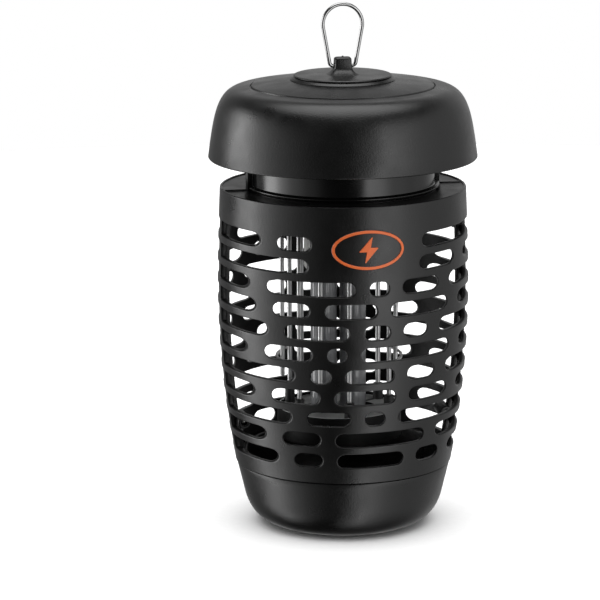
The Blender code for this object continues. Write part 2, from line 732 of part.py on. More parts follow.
def make_hanger_plate(parent):
    """The plate on top of the cap, with the lug that the wire goes through."""
    foot = CAP_TOP_Z + GAP
    profile = [(0, PLATE_TOP), (PLATE_R - 0.0006, PLATE_TOP), (PLATE_R, PLATE_TOP - 0.0005),
               (PLATE_R, PLATE_TOP - 0.0010), (PLATE_R - 0.0007, PLATE_TOP - 0.0013),
               (PLATE_FOOT_R, foot), (0, foot)]
    plate = turned("hanger_plate", profile, BLACK, 32, parent)
    half_x = LUG_WIDTH / 2
    half_y = LUG_DEPTH / 2
    lug = block("hanger_lug", (-half_x, -half_y, PLATE_TOP - 0.001), (half_x, half_y, LUG_TOP),
                TOOL_MATERIAL, None, 0.0011)
    combine(plate, as_tool(lug), "UNION")
    bosses = [((x, 0, CAP_UNDER_TOP + 0.0006), (x, 0, PLATE_TOP - 0.0008)) for x in
              (-HANGER_SCREW_X, HANGER_SCREW_X)]
    combine(plate, cylinders_tool("hanger_bosses", HANGER_BOSS_R, bosses), "UNION")
    pilots = [((x, 0, CAP_UNDER_TOP - 0.001), (x, 0, PLATE_TOP - 0.0007)) for x in
              (-HANGER_SCREW_X, HANGER_SCREW_X)]
    combine(plate, cylinders_tool("hanger_pilots", PILOT_R, pilots, 10), "DIFFERENCE")
    eye = [((-half_x - 0.002, 0, WIRE_AXIS_Z), (half_x + 0.002, 0, WIRE_AXIS_Z))]
    combine(plate, cylinders_tool("hanger_eye", WIRE_HOLE_R, eye, 12), "DIFFERENCE")
    for number, x in enumerate((-HANGER_SCREW_X, HANGER_SCREW_X), 1):
        place = (x, 0, CAP_UNDER_TOP - GAP)
        screw(f"hanger_screw_{number}", HANGER_SCREW, place, (math.pi, 0, 0), parent)


def wire_path():
    """Half of the wire loop, from inside the lug to the top, relative to the pivot."""
    foot_r = 0.0018
    foot = arc((WIRE_FOOT_X - foot_r, foot_r), foot_r, -90, -12, 3)
    bow_r = WIRE_HALF_WIDTH - WIRE_R
    bow_z = WIRE_TOP_Z - WIRE_AXIS_Z - WIRE_R - bow_r
    bow = arc((0, bow_z), bow_r, -8, 90, 8)
    return [(0.0006, 0.0)] + foot + bow


def make_hanging_wire(parent):
    """The wire loop, one bent wire whose two ends lie in the eye of the lug."""
    right = wire_path()
    left = [(-x, z) for x, z in reversed(right[:-1])]
    points = [(x, 0, z) for x, z in right + left]
    wire("hanging_wire", points, WIRE_R, CHROME, parent)


# ---------------------------------------------------------------- grid and lamp

def make_rods(parent):
    """Six outer rods and six inner rods."""
    outer, inner = rod_places()
    top = UPPER_PLATE_Z[1]
    for number, (x, y) in enumerate(outer, 1):
        cylinder(f"outer_rod_{number}", ROD_R, (x, y, OUTER_ROD_END), (x, y, top), CHROME, parent, 8)
    for number, (x, y) in enumerate(inner, 1):
        cylinder(f"inner_rod_{number}", ROD_R, (x, y, INNER_ROD_END), (x, y, top), CHROME, parent, 8)


def flat_ring(name, inner_r, outer_r, low, high, material, parent):
    """A flat ring about the grid's axis."""
    profile = [(inner_r, high), (outer_r, high), (outer_r, low), (inner_r, low)]
    return turned(name, profile, material, 24, parent, (GRID_X, 0, 0))


def make_grid_rings(parent):
    """Two bus rings over the upper plate, and the tie ring round the outer rods."""
    low = UPPER_PLATE_Z[1] + GAP
    flat_ring("outer_bus_ring", *OUTER_BUS_R, low, low + BUS_THICKNESS, CHROME, parent)
    flat_ring("inner_bus_ring", *INNER_BUS_R, low, low + BUS_THICKNESS, CHROME, parent)
    section = arc((TIE_RING_R, TIE_RING_Z), TIE_RING_WIRE_R, 90, -198, 4)
    turned("tie_ring", section, CHROME, 32, parent, (GRID_X, 0, 0))


def make_lower_plate(parent):
    """Skirted insulating plate at the foot of the grid, open in the middle for the lamp."""
    top = LOWER_PLATE_TOP
    under = top - 0.0024
    rim_width, rim_height = LOWER_RAISED_RIM
    profile = [(0, top), (LOWER_PLATE_R - rim_width, top), (LOWER_PLATE_R - rim_width, top + rim_height),
               (LOWER_PLATE_R, top + rim_height), (LOWER_PLATE_R, LOWER_SKIRT_END),
               (LOWER_PLATE_R - LOWER_WALL, LOWER_SKIRT_END), (LOWER_PLATE_R - LOWER_WALL, under),
               (0, under)]
    plate = turned("lower_grid_plate", profile, INSULATOR, 32, parent, (GRID_X, 0, 0))
    _, inner = rod_places()
    bosses = [((x, y, top - 0.001), (x, y, top + ROD_BOSS_HEIGHT)) for x, y in inner]
    combine(plate, cylinders_tool("rod_bosses", ROD_BOSS_R, bosses, 8), "UNION")
    holes = [((x, y, under - 0.002), (x, y, top + ROD_BOSS_HEIGHT + 0.002)) for x, y in inner]
    combine(plate, cylinders_tool("rod_boss_holes", ROD_HOLE_R, holes, 6), "DIFFERENCE")

    def build(shape):
        outline = arc((LAMP_X + LAMP_WINDOW[0], 0), LAMP_WINDOW[1], -90, 90, 4)
        outline += arc((LAMP_X - LAMP_WINDOW[0], 0), LAMP_WINDOW[1], 90, 270, 4)
        corners = [shape.verts.new((x, y, top - 0.006)) for x, y in outline]
        face = shape.faces.new(corners)
        moved = bmesh.ops.extrude_face_region(shape, geom=[face])["geom"]
        verts = [item for item in moved if isinstance(item, bmesh.types.BMVert)]
        bmesh.ops.translate(shape, verts=verts, vec=(0, 0, 0.010))
    window = as_tool(add_mesh("lamp_window", mesh_from("lamp_window", build), TOOL_MATERIAL))
    combine(plate, window, "DIFFERENCE")


def make_lamp(parent):
    """Twin-tube lamp on its base, two pins, and the socket under the upper plate."""
    half_x, half_y = LAMP_BASE_HALF
    low, high = LAMP_BASE_Z
    block("lamp_base", (LAMP_X - half_x, -half_y, low), (LAMP_X + half_x, half_y, high), WHITE, parent, 0.003)
    socket_low = high + GAP
    socket_top = UPPER_PLATE_Z[0] - GAP
    socket = block("lamp_socket", (LAMP_X - half_x - SOCKET_MARGIN, -half_y - SOCKET_MARGIN, socket_low),
                   (LAMP_X + half_x + SOCKET_MARGIN, half_y + SOCKET_MARGIN, socket_top),
                   INSULATOR, parent, 0.0012)
    neck_x, neck_y = SOCKET_NECK_HALF
    neck = blocks_tool("socket_neck", [((LAMP_X - neck_x, -neck_y, socket_top - 0.002),
                                        (LAMP_X + neck_x, neck_y, SOCKET_NECK_TOP))])
    combine(socket, neck, "UNION")
    pins = [(LAMP_X + side * LAMP_PIN_X, 0) for side in (-1, 1)]
    pin_top = socket_low + LAMP_PIN_LENGTH
    holes = [((x, y, socket_low - 0.001), (x, y, pin_top + 0.0007)) for x, y in pins]
    combine(socket, cylinders_tool("pin_holes", LAMP_PIN_R + 0.0004, holes, 10), "DIFFERENCE")
    for number, (x, y) in enumerate(pins, 1):
        cylinder(f"lamp_pin_{number}", LAMP_PIN_R, (x, y, socket_low), (x, y, pin_top), CHROME, parent, 8)
    half = LAMP_TUBE_SPACING / 2
    bend = arc((LAMP_X, LAMP_BEND_Z), half, 180, 360, 12)
    ends = low - GAP
    path = [(LAMP_X - half, ends)] + bend + [(LAMP_X + half, ends)]
    wire("lamp_tube", [(x, 0, z) for x, z in path], LAMP_TUBE_R, GLASS, parent, 2)


def make_leads(parent):
    """Short insulated leads from the board to the socket and to the bus rings."""
    top = BOARD_SEAT_Z - 0.0002
    socket = SOCKET_NECK_TOP + GAP
    bus = UPPER_PLATE_Z[1] + BUS_THICKNESS + 2 * GAP
    middle = (socket + top) / 2
    for number, side in enumerate((-1, 1), 1):
        x = LAMP_X + side * 0.006
        path = [(x, 0, socket), (x + side * 0.001, 0, middle), (x, 0, top)]
        wire(f"lamp_lead_{number}", path, LEAD_R, LEAD, parent, 1)
    ends = (("grid_lead_1", OUTER_RING_R, 1), ("grid_lead_2", INNER_RING_R, -1))
    for name, radius, side in ends:
        path = [(GRID_X, side * radius, bus), (GRID_X, side * (radius - 0.001), middle),
                (GRID_X, side * (radius - 0.005), top)]
        wire(name, path, LEAD_R, LEAD, parent, 1)


# ---------------------------------------------------------------- badge

def make_badge(parent):
    """Thin oval badge that follows the front of the cage."""
    low = BADGE_Z - BADGE_HALF[1] - 0.002
    high = BADGE_Z + BADGE_HALF[1] + 0.002
    heights = [high - (high - low) * k / 4 for k in range(5)]
    out = GAP + BADGE_THICKNESS
    outside = [(cage_radius(z) + out, z) for z in heights]
    inside = [(cage_radius(z) + GAP, z) for z in reversed(heights)]
    badge = turned("badge", outside + inside, ORANGE, CAGE_SEGMENTS, parent)
    outline = [(BADGE_HALF[0] * x, BADGE_Z + BADGE_HALF[1] * z) for x, z in circle(1.0, 28)]

    def build(shape):
        put_prism(shape, outline, -BEYOND, 0.0)
    oval = as_tool(add_mesh("badge_outline", mesh_from("badge_outline", build), TOOL_MATERIAL))
    combine(badge, oval, "INTERSECT")


# ---------------------------------------------------------------- assembly

clear_scene()
PARTS = new_collection("bug_zapper")
TOOLS = new_collection("cutters")
BLACK = black_plastic()
GLOSS = gloss_plastic()
INSULATOR = dark_insulator()
CHROME = bright_steel()
STEEL = zinc_steel()
GLASS = lamp_glass()
WHITE = white_plastic()
BOARD = board_laminate()
COMPONENT = component_plastic()
LEAD = lead_insulation()
RUBBER = soft_rubber()
ORANGE = badge_orange()
TOOL_MATERIAL = INSULATOR

body_frame = new_empty("body_frame", (0, 0, 0))
tray_slide = new_empty("tray_slide", (0, 0, 0))
wire_pivot = new_empty("wire_pivot", (0, 0, WIRE_AXIS_Z))

make_tray(tray_slide)
make_cage(body_frame)
make_neck(body_frame)
make_gland(body_frame)
make_board(body_frame)
make_upper_plate(body_frame)
make_cap(body_frame)
make_hanger_plate(body_frame)
make_hanging_wire(wire_pivot)
make_rods(body_frame)
make_grid_rings(body_frame)
make_lower_plate(body_frame)
make_lamp(body_frame)
make_leads(body_frame)
make_badge(body_frame)
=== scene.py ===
"""Looks of the lantern-shaped bug zapper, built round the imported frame.

+Z up, the front with the badge at -Y, as in the frame. Shapes are written in millimetres, and vert()
turns them into the frame's metres. Materials, lights and camera are in metres.
"""
from math import acos, asin, cos, pi, radians, sin, sqrt, tan

import bmesh
import bpy
from mathutils import Matrix, Vector
from mathutils.geometry import delaunay_2d_cdt


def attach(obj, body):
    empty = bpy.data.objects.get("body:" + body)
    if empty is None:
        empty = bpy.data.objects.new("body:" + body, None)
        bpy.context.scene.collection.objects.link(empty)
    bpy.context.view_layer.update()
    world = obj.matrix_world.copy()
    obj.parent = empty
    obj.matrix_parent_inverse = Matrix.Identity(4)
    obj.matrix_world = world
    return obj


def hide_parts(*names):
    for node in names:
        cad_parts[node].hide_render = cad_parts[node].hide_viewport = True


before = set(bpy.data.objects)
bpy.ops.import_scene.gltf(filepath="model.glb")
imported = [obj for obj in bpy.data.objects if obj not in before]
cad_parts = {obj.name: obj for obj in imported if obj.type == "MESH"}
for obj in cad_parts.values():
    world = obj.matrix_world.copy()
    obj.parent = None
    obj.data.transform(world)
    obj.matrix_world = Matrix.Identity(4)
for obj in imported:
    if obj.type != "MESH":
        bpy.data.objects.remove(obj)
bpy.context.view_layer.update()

MM = 0.001
NO_TINT = (1.0, 1.0, 1.0)

# ---- materials


class Recipe:
    """A node material under construction."""

    def __init__(self, name):
        self.material = bpy.data.materials.new(name)
        self.material.use_nodes = True
        self.tree = self.material.node_tree
        self.shader = self.tree.nodes["Principled BSDF"]
        self.place = self.node("TexCoord").outputs["Object"]

    def node(self, kind, **values):
        """Add a node; values set its properties, or its inputs where it has one of that name."""
        made = self.tree.nodes.new("ShaderNode" + kind)
        for key, value in values.items():
            label = key.replace("_", " ")
            if label in made.inputs:
                self.feed(made.inputs[label], value)
            else:
                setattr(made, key, value)
        return made

    def feed(self, socket, value):
        """Link a socket to an output, or give it a plain value."""
        if isinstance(value, bpy.types.NodeSocket):
            self.tree.links.new(value, socket)
        else:
            socket.default_value = value

    def set(self, **values):
        """Inputs of the main shader."""
        for key, value in values.items():
            self.feed(self.shader.inputs[key.replace("_", " ")], value)

    def stretched(self, x, y, z):
        """Object coordinates scaled by axis, for streaks."""
        return self.node("Mapping", Vector=self.place, Scale=(x, y, z)).outputs["Vector"]

    def noise(self, scale, detail=2.0, rough=0.5, vector=None):
        """Noise from 0 to 1."""
        made = self.node("TexNoise", Vector=vector or self.place, Scale=scale, Detail=detail)
        made.inputs["Roughness"].default_value = rough
        return made.outputs["Fac"]

    def spread(self, value, low, high, at=(0.3, 0.7)):
        """Map a value from the range at to low..high."""
        made = self.node("MapRange", Value=value)
        for label, number in zip(("From Min", "From Max", "To Min", "To Max"), (*at, low, high)):
            self.feed(made.inputs[label], number)
        return made.outputs["Result"]

    def blend(self, share, first, second):
        """Mix two colours."""
        made = self.node("MixRGB", Fac=share)
        self.feed(made.inputs["Color1"], first)
        self.feed(made.inputs["Color2"], second)
        return made.outputs["Color"]

    def bump(self, height, depth):
        return self.node("Bump", Height=height, Distance=depth).outputs["Normal"]

    def painted_edge_highlight(self):
        """A share that is 1 on sharp outer edges: the mask of the painted edge highlight."""
        return self.spread(self.node("NewGeometry").outputs["Pointiness"], 0.0, 1.0, (0.53, 0.62))

    def outputs_of(self, kind, operation, *values):
        """Outputs of a Math or VectorMath node."""
        made = self.node(kind, operation=operation)
        for socket, value in zip(made.inputs, values):
            self.feed(socket, value)
        return made.outputs

    def math(self, operation, *values):
        return self.outputs_of("Math", operation, *values)[0]


def grey(value, tint=NO_TINT):
    return (value * tint[0], value * tint[1], value * tint[2], 1.0)


def moulded(name, shade, rough, grain=0.7 * MM, depth=0.075 * MM, highlight_gain=2.2, dull_inside=False, painted_top_light=0.0):
    """Black moulded plastic with a fine grain, faint clouds and a painted highlight that makes sharp edges
    lighter.

    With dull_inside, faces that look towards the upright axis have little sheen. The top-light value
    paints faces that look up as pale as that: painted light on the tops.
    """
    tint = (0.98, 1.0, 0.99)
    r = Recipe(name)
    fine = r.noise(1.0 / grain, 2.0, 0.55)
    cloud = r.noise(38.0, 3.0, 0.6)
    body = r.blend(r.spread(cloud, 0.0, 1.0), grey(shade * 0.85, tint), grey(shade * 1.15, tint))
    body = r.blend(r.spread(fine, 0.0, 0.5, (0.5, 0.75)), body, grey(shade * 1.6, tint))
    # painted light: faces that look up are painted paler, as though lit from above
    if painted_top_light:
        top_light_share = r.node("SeparateXYZ", Vector=r.node("TexCoord").outputs["Normal"]).outputs[2]
        body = r.blend(r.spread(top_light_share, 0.0, 1.0, (0.7, 0.95)), body, grey(painted_top_light, tint))
        r.set(Specular_IOR_Level=0.15)
    # painted highlight: sharp outer edges are painted lighter, in place of light caught on the edges
    r.set(Base_Color=r.blend(r.painted_edge_highlight(), body, grey(shade * highlight_gain, tint)))
    r.set(Roughness=r.spread(r.noise(90.0, 3.0), rough - 0.05, rough + 0.06))
    r.set(Normal=r.bump(fine, depth))
    if dull_inside:
        level = r.outputs_of("VectorMath", "MULTIPLY", r.place, (1.0, 1.0, 0.0))[0]
        away = r.outputs_of("VectorMath", "NORMALIZE", level)[0]
        facing = r.outputs_of("VectorMath", "DOT_PRODUCT", away, r.node("TexCoord").outputs["Normal"])
        r.set(Specular_IOR_Level=r.spread(facing["Value"], 0.10, 0.5, (-0.95, -0.55)))
    return r.material


def polished(name, shade, rough, streak, tint=NO_TINT):
    """Bright metal with fine lines along Z, and faint dulling."""
    r = Recipe(name)
    lines = r.noise(1.0, 4.0, 0.6, r.stretched(5200.0, 5200.0, 60.0))
    dull = r.noise(240.0, 4.0, 0.6)
    r.set(Base_Color=r.blend(r.spread(dull, 0.0, 1.0), grey(shade * 0.82, tint), grey(shade, tint)))
    r.set(Metallic=1.0, Roughness=r.spread(dull, rough, rough + 0.12))
    r.set(Normal=r.bump(lines, streak))
    return r.material


def cast_rubber(name):
    r = Recipe(name)
    fine = r.noise(900.0, 3.0, 0.6)
    r.set(Base_Color=r.blend(r.spread(fine, 0.0, 1.0), grey(0.008), grey(0.02)))
    r.set(Roughness=r.spread(fine, 0.68, 0.85), Normal=r.bump(fine, 0.03 * MM))
    return r.material


def coated_glass(name):
    """Lamp glass over its pale powder coat, a little uneven along the tube."""
    r = Recipe(name)
    powder = r.noise(1.0, 4.0, 0.6, r.stretched(420.0, 420.0, 45.0))
    specks = r.noise(2600.0, 2.0, 0.6)
    coat = r.blend(r.spread(powder, 0.0, 1.0), grey(0.20, (0.97, 0.99, 1.05)), grey(0.36, (0.98, 1.0, 1.03)))
    coat = r.blend(r.spread(specks, 0.0, 0.35, (0.55, 0.8)), coat, grey(0.55))
    r.set(Base_Color=coat, Roughness=r.spread(specks, 0.32, 0.45), Coat_Weight=1.0, Coat_Roughness=0.03)
    r.set(Normal=r.bump(powder, 0.05 * MM))
    return r.material


def pale_plastic(name, shade, rough, tint):
    r = Recipe(name)
    fine = r.noise(1400.0, 2.0)
    cloud = r.noise(60.0, 3.0)
    r.set(Base_Color=r.blend(r.spread(cloud, 0.0, 1.0), grey(shade * 0.92, tint), grey(shade, tint)))
    r.set(Roughness=r.spread(fine, rough - 0.05, rough + 0.08), Normal=r.bump(fine, 0.012 * MM))
    return r.material


def laminate(name):
    """Circuit board: woven laminate under tan lacquer."""
    r = Recipe(name)
    warp = r.node("TexWave", Vector=r.place, Scale=520.0, Distortion=0.6).outputs["Fac"]
    weft = r.node("TexWave", Vector=r.place, Scale=520.0, Distortion=0.6, bands_direction="Y").outputs["Fac"]
    weave = r.math("MULTIPLY", warp, weft)
    r.set(Base_Color=r.blend(weave, (0.23, 0.15, 0.05, 1.0), (0.34, 0.24, 0.09, 1.0)))
    r.set(Roughness=0.42, Normal=r.bump(weave, 0.01 * MM))
    return r.material


# each moulded look below paints its sharp edges lighter: a painted highlight
BLACK = moulded("black_plastic_look", 0.0060, 0.31)
GLOSS = moulded("gloss_black_look", 0.0045, 0.20, 0.9 * MM, 0.004 * MM, 1.6)
SHADED = moulded("cage_black_look", 0.0062, 0.32, dull_inside=True)
INSULATOR = moulded("insulator_look", 0.016, 0.5, 0.6 * MM, 0.015 * MM)
CHROME = polished("bright_steel_look", 0.62, 0.16, 0.004 * MM)
ROD = polished("rod_steel_look", 0.86, 0.36, 0.004 * MM)
WIRE = polished("wire_steel_look", 0.42, 0.10, 0.0015 * MM)
ZINC = polished("zinc_steel_look", 0.62, 0.26, 0.006 * MM, (1.0, 0.99, 0.95))
GLASS = coated_glass("lamp_glass_look")
# the grid foot's upward faces are painted pale: painted light on its top
FOOT = moulded("grid_foot_look", 0.0060, 0.5, 0.5 * MM, 0.012 * MM, 1.6, painted_top_light=0.9)
WHITE = pale_plastic("white_plastic_look", 0.62, 0.4, (1.0, 1.0, 0.97))
BOARD = laminate("board_look")
COMPONENT = pale_plastic("component_look", 0.2, 0.35, (0.2, 0.45, 1.0))
LEAD = pale_plastic("lead_look", 0.5, 0.45, (1.0, 0.1, 0.06))
RUBBER = cast_rubber("rubber_look")
ORANGE = pale_plastic("badge_orange_look", 1.0, 0.4, (0.98, 0.19, 0.045))

LOOK = {
    "black_plastic": BLACK, "gloss_black_plastic": GLOSS, "dark_insulator": INSULATOR,
    "bright_steel": CHROME, "zinc_steel": ZINC, "lamp_glass": GLASS, "white_plastic": WHITE,
    "board_laminate": BOARD, "component_plastic": COMPONENT, "lead_insulation": LEAD,
    "black_rubber": RUBBER, "badge_orange": ORANGE,
}


# ---- mesh helpers

ON_AXIS = 1e-4                  # a smaller radius counts as the axis itself
CDT_NEAR = 1e-4                 # points of a flat mesh that are nearer than this are one point
PIECE_NEAR = 2e-6               # vertices nearer than this are joined, in metres
CARVE_NEAR = 1e-6


def vert(bm, point):
    """Add a vertex from a point in millimetres."""
    return bm.verts.new(Vector(point) * MM)


def polar(radius, degrees, z, centre=(0.0, 0.0)):
    """A point at an angle measured from the front towards +X."""
    turn = radians(degrees)
    return Vector((centre[0] + radius * sin(turn), centre[1] - radius * cos(turn), z))


def arc(centre, radius, start, end, steps):
    """Points on an arc, as pairs, with the angles in degrees."""
    turns = [radians(start + (end - start) * k / steps) for k in range(steps + 1)]
    return [(centre[0] + radius * cos(t), centre[1] + radius * sin(t)) for t in turns]


def between(start, end, steps):
    """Pairs spaced evenly from one pair to another, without the two."""
    (a, b), (c, d) = start, end
    return [(a + (c - a) * k / steps, b + (d - b) * k / steps) for k in range(1, steps)]


def rounded(corners, closed=False, steps=3):
    """A path of pairs with each corner (a, b, radius) replaced by an arc."""
    path = []
    count = len(corners)
    for k, corner in enumerate(corners):
        here = Vector(corner[:2])
        radius = corner[2] if len(corner) > 2 else 0.0
        if radius == 0.0 or (not closed and k in (0, count - 1)):
            path.append(tuple(here))
            continue
        back = (Vector(corners[k - 1][:2]) - here).normalized()
        ahead = (Vector(corners[(k + 1) % count][:2]) - here).normalized()
        half = back.angle(ahead) / 2
        if half > radians(88):
            path.append(tuple(here))
            continue
        reach = radius / tan(half)
        centre = here + (back + ahead).normalized() * radius / sin(half)
        first = here + back * reach - centre
        last = here + ahead * reach - centre
        sweep = first.angle_signed(last)
        for j in range(steps + 1):
            turn = -sweep * j / steps
            c, s = cos(turn), sin(turn)
            path.append((centre.x + first.x * c - first.y * s, centre.y + first.x * s + first.y * c))
    return path


def skin(bm, rows, wrap_rows=False, wrap_columns=False):
    """Quads between rows of vertices of equal length."""
    for i in range(len(rows) if wrap_rows else len(rows) - 1):
        one, two = rows[i], rows[(i + 1) % len(rows)]
        for j in range(len(one) if wrap_columns else len(one) - 1):
            k = (j + 1) % len(one)
            corners = []
            for v in (one[j], one[k], two[k], two[j]):
                if v not in corners:
                    corners.append(v)
            if len(corners) > 2:
                bm.faces.new(corners)


def put_turned(bm, profile, segments, centre=(0.0, 0.0), lay=Matrix()):
    """Turn a profile of (radius, height) about a vertical axis. It is closed unless it ends on the axis."""
    rows = []
    for r, z in profile:
        if r < ON_AXIS:
            rows.append([vert(bm, lay @ polar(0.0, 0.0, z, centre))] * segments)
        else:
            spots = [polar(r, 360 * k / segments, z, centre) for k in range(segments)]
            rows.append([vert(bm, lay @ spot) for spot in spots])
    skin(bm, rows, wrap_rows=profile[0][0] > ON_AXIS, wrap_columns=True)


def put_swept(bm, path, radius, sides):
    """A round bar along points, with slightly rounded ends."""
    path = [Vector(p) for p in path]
    tangents = []
    for k in range(len(path)):
        tangents.append((path[min(k + 1, len(path) - 1)] - path[max(k - 1, 0)]).normalized())
    side = tangents[0].orthogonal().normalized()
    rings = []
    last = len(path) - 1
    nip = radius * 0.3
    stations = [(path[0], 0.7, 0)] + [(p, 1.0, k) for k, p in enumerate(path)] + [(path[last], 0.7, last)]
    for number, (point, share, k) in enumerate(stations):
        along = tangents[k]
        side = (side - along * side.dot(along)).normalized()
        other = along.cross(side)
        if number == 1:
            point = point + along * nip
        if number == len(stations) - 2:
            point = point - along * nip
        ring = []
        for j in range(sides):
            turn = 2 * pi * j / sides
            out = side * cos(turn) + other * sin(turn)
            ring.append(vert(bm, point + out * radius * share))
        rings.append(ring)
    skin(bm, rings, wrap_columns=True)
    bm.faces.new(rings[0][::-1])
    bm.faces.new(rings[-1])


def put_stack(bm, loops):
    """A solid through closed loops of 3-D points of equal length, with flat ends."""
    rows = [[vert(bm, p) for p in loop] for loop in loops]
    skin(bm, rows, wrap_columns=True)
    bm.faces.new(rows[0][::-1])
    bm.faces.new(rows[-1])


def rounded_box(half_x, half_y, radius, steps=4):
    """A rounded rectangle as pairs, anticlockwise."""
    radius = min(radius, half_x * 0.98, half_y * 0.98)
    x, y = half_x - radius, half_y - radius
    loop = []
    for cx, cy, start in ((x, y, 0), (-x, y, 90), (-x, -y, 180), (x, -y, 270)):
        loop += arc((cx, cy), radius, start, start + 90, steps)
    return loop


def put_box(bm, low, high, radius, edge):
    """A box standing along Z with rounded corners and softened ends."""
    low, high = Vector(low), Vector(high)
    middle = (low + high) / 2
    half = (high - low) / 2
    loops = []
    for z, inset in ((low.z, edge), (low.z + edge * 0.3, edge * 0.3), (low.z + edge, 0.0),
                     (high.z - edge, 0.0), (high.z - edge * 0.3, edge * 0.3), (high.z, edge)):
        plan = rounded_box(half.x - inset, half.y - inset, radius)
        loops.append([(middle.x + x, middle.y + y, z) for x, y in plan])
    put_stack(bm, loops)


def put_plate(bm, outline, holes, low, high, edge=0.15):
    """A flat plate with holes and softened edges, from closed loops of pairs."""
    def offset(loop, amount):
        moved = []
        for k, p in enumerate(loop):
            back, ahead = Vector(loop[k - 1]), Vector(loop[(k + 1) % len(loop)])
            along = (ahead - back).normalized()
            moved.append((p[0] + along.y * amount, p[1] - along.x * amount))
        return moved

    def area(loop):
        return sum(a[0] * b[1] - b[0] * a[1] for a, b in zip(loop, loop[1:] + loop[:1]))

    loops = [outline if area(outline) > 0 else outline[::-1]]
    loops += [hole if area(hole) < 0 else hole[::-1] for hole in holes]
    for z, inward in ((high, edge), (low, edge)):
        flat = [offset(loop, -inward) for loop in loops]
        points, edges = [], []
        for loop in flat:
            base = len(points)
            points += [Vector(p) for p in loop]
            edges += [(base + k, base + (k + 1) % len(loop)) for k in range(len(loop))]
        placed, _, faces, _, _, _ = delaunay_2d_cdt(points, edges, [], 0, CDT_NEAR)
        verts = [vert(bm, (p.x, p.y, z)) for p in placed]
        for face in faces:
            middle = sum((placed[k] for k in face), Vector((0, 0))) / len(face)
            if sum(inside(middle, loop) for loop in flat) == 1:
                bm.faces.new([verts[k] for k in face])
    for loop in loops:
        rows = []
        for z, inward in ((low, edge), (low + edge, 0.0), (high - edge, 0.0), (high, edge)):
            rows.append([vert(bm, (x, y, z)) for x, y in offset(loop, -inward)])
        skin(bm, rows, wrap_columns=True)


def inside(point, loop):
    """True if a point is inside a closed loop of pairs."""
    x, y = point[0], point[1]
    odd = False
    for (x1, y1), (x2, y2) in zip(loop, loop[1:] + loop[:1]):
        if (y1 > y) != (y2 > y) and x < (x2 - x1) * (y - y1) / (y2 - y1) + x1:
            odd = not odd
    return odd


def circle(radius, sides, centre=(0.0, 0.0)):
    return arc(centre, radius, 0, 360, sides)[:-1]


def into_mesh(bm, name, near):
    """End a bmesh as a mesh: near points joined, and all faces outwards."""
    bmesh.ops.remove_doubles(bm, verts=bm.verts, dist=near)
    bmesh.ops.delete(bm, geom=[v for v in bm.verts if not v.link_faces], context="VERTS")
    bmesh.ops.recalc_face_normals(bm, faces=bm.faces)
    mesh = bpy.data.meshes.new(name)
    bm.to_mesh(mesh)
    bm.free()
    return mesh


def piece(name, bm, slot, stands_for=(), body="body", sharp=38.0, look=None):
    """Turn a bmesh into a named piece that rides on a body."""
    mesh = into_mesh(bm, name, PIECE_NEAR)
    mesh.shade_smooth()
    mesh.set_sharp_from_angle(angle=radians(sharp))
    made = bpy.data.objects.new(name, mesh)
    mesh.materials.append(look or LOOK[slot])
    bpy.context.scene.collection.objects.link(made)
    if stands_for:
        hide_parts(*stands_for)
    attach(made, body)
    return made


def carved(target, tool):
    """Cut one bmesh out of another, exactly."""
    objects = []
    for bm in (target, tool):
        made = bpy.data.objects.new("work", into_mesh(bm, "work", CARVE_NEAR))
        bpy.context.scene.collection.objects.link(made)
        objects.append(made)
    cut = objects[0].modifiers.new("cut", "BOOLEAN")
    cut.operation = "DIFFERENCE"
    cut.object = objects[1]
    cut.solver = "EXACT"
    cut.use_self = True
    bpy.context.view_layer.update()
    result = bmesh.new()
    result.from_object(objects[0], bpy.context.evaluated_depsgraph_get())
    for made in objects:
        bpy.data.meshes.remove(made.data)
    return result


def turned(name, profile, segments, slot, *stands_for, centre=(0.0, 0.0), **how):
    """A piece that is one profile turned about a vertical axis."""
    bm = bmesh.new()
    put_turned(bm, profile, segments, centre)
    piece(name, bm, slot, stands_for, **how)


# ---- tray

TRAY_FOOT_R = 30.0
TRAY_LOW = (48.4, 15.0)
TRAY_RIM = (52.2, 30.7)
SPIGOT = (49.4, 36.0)
TRAY_WALL = 2.2


def tray_outline(steps, inset):
    """Outer corner of the tray from the foot to the wall, moved in by the wall."""
    slope = (TRAY_RIM[0] - TRAY_LOW[0]) / (TRAY_RIM[1] - TRAY_LOW[1])
    knee = Vector((TRAY_LOW[0] - slope * TRAY_LOW[1], 0.0))
    foot, wall = Vector((TRAY_FOOT_R, 0.0)), Vector(TRAY_LOW)
    points = []
    for k in range(steps + 1):
        t = k / steps
        point = foot * (1 - t) ** 2 + knee * 2 * t * (1 - t) + wall * t * t
        along = ((knee - foot) * (1 - t) + (wall - knee) * t).normalized()
        points.append(tuple(point + Vector((-along.y, along.x)) * inset))
    return points


def make_tray():
    steps = 14
    low = tray_outline(steps, 0.0)
    rim_r, rim_z = TRAY_RIM
    wall = between(TRAY_LOW, TRAY_RIM, 6)
    top = rounded([(wall[-1][0], wall[-1][1]), (rim_r, rim_z, 0.5), (SPIGOT[0], rim_z, 0.3),
                   (SPIGOT[0], SPIGOT[1], 0.4), (SPIGOT[0] - TRAY_WALL, SPIGOT[1], 0.4),
                   (SPIGOT[0] - TRAY_WALL, rim_z - 2.0)])
    inner = tray_outline(steps, TRAY_WALL)
    profile = [(0.0, 0.4), (20.0, 0.4), (21.0, 0.0), (26.0, 0.0)] + low
    profile += wall[:-1] + top + inner[::-1] + [(16.0, TRAY_WALL), (0.0, TRAY_WALL)]
    turned("tray_shell", profile, 144, "black_plastic", "tray", body="tray")


# ---- cage

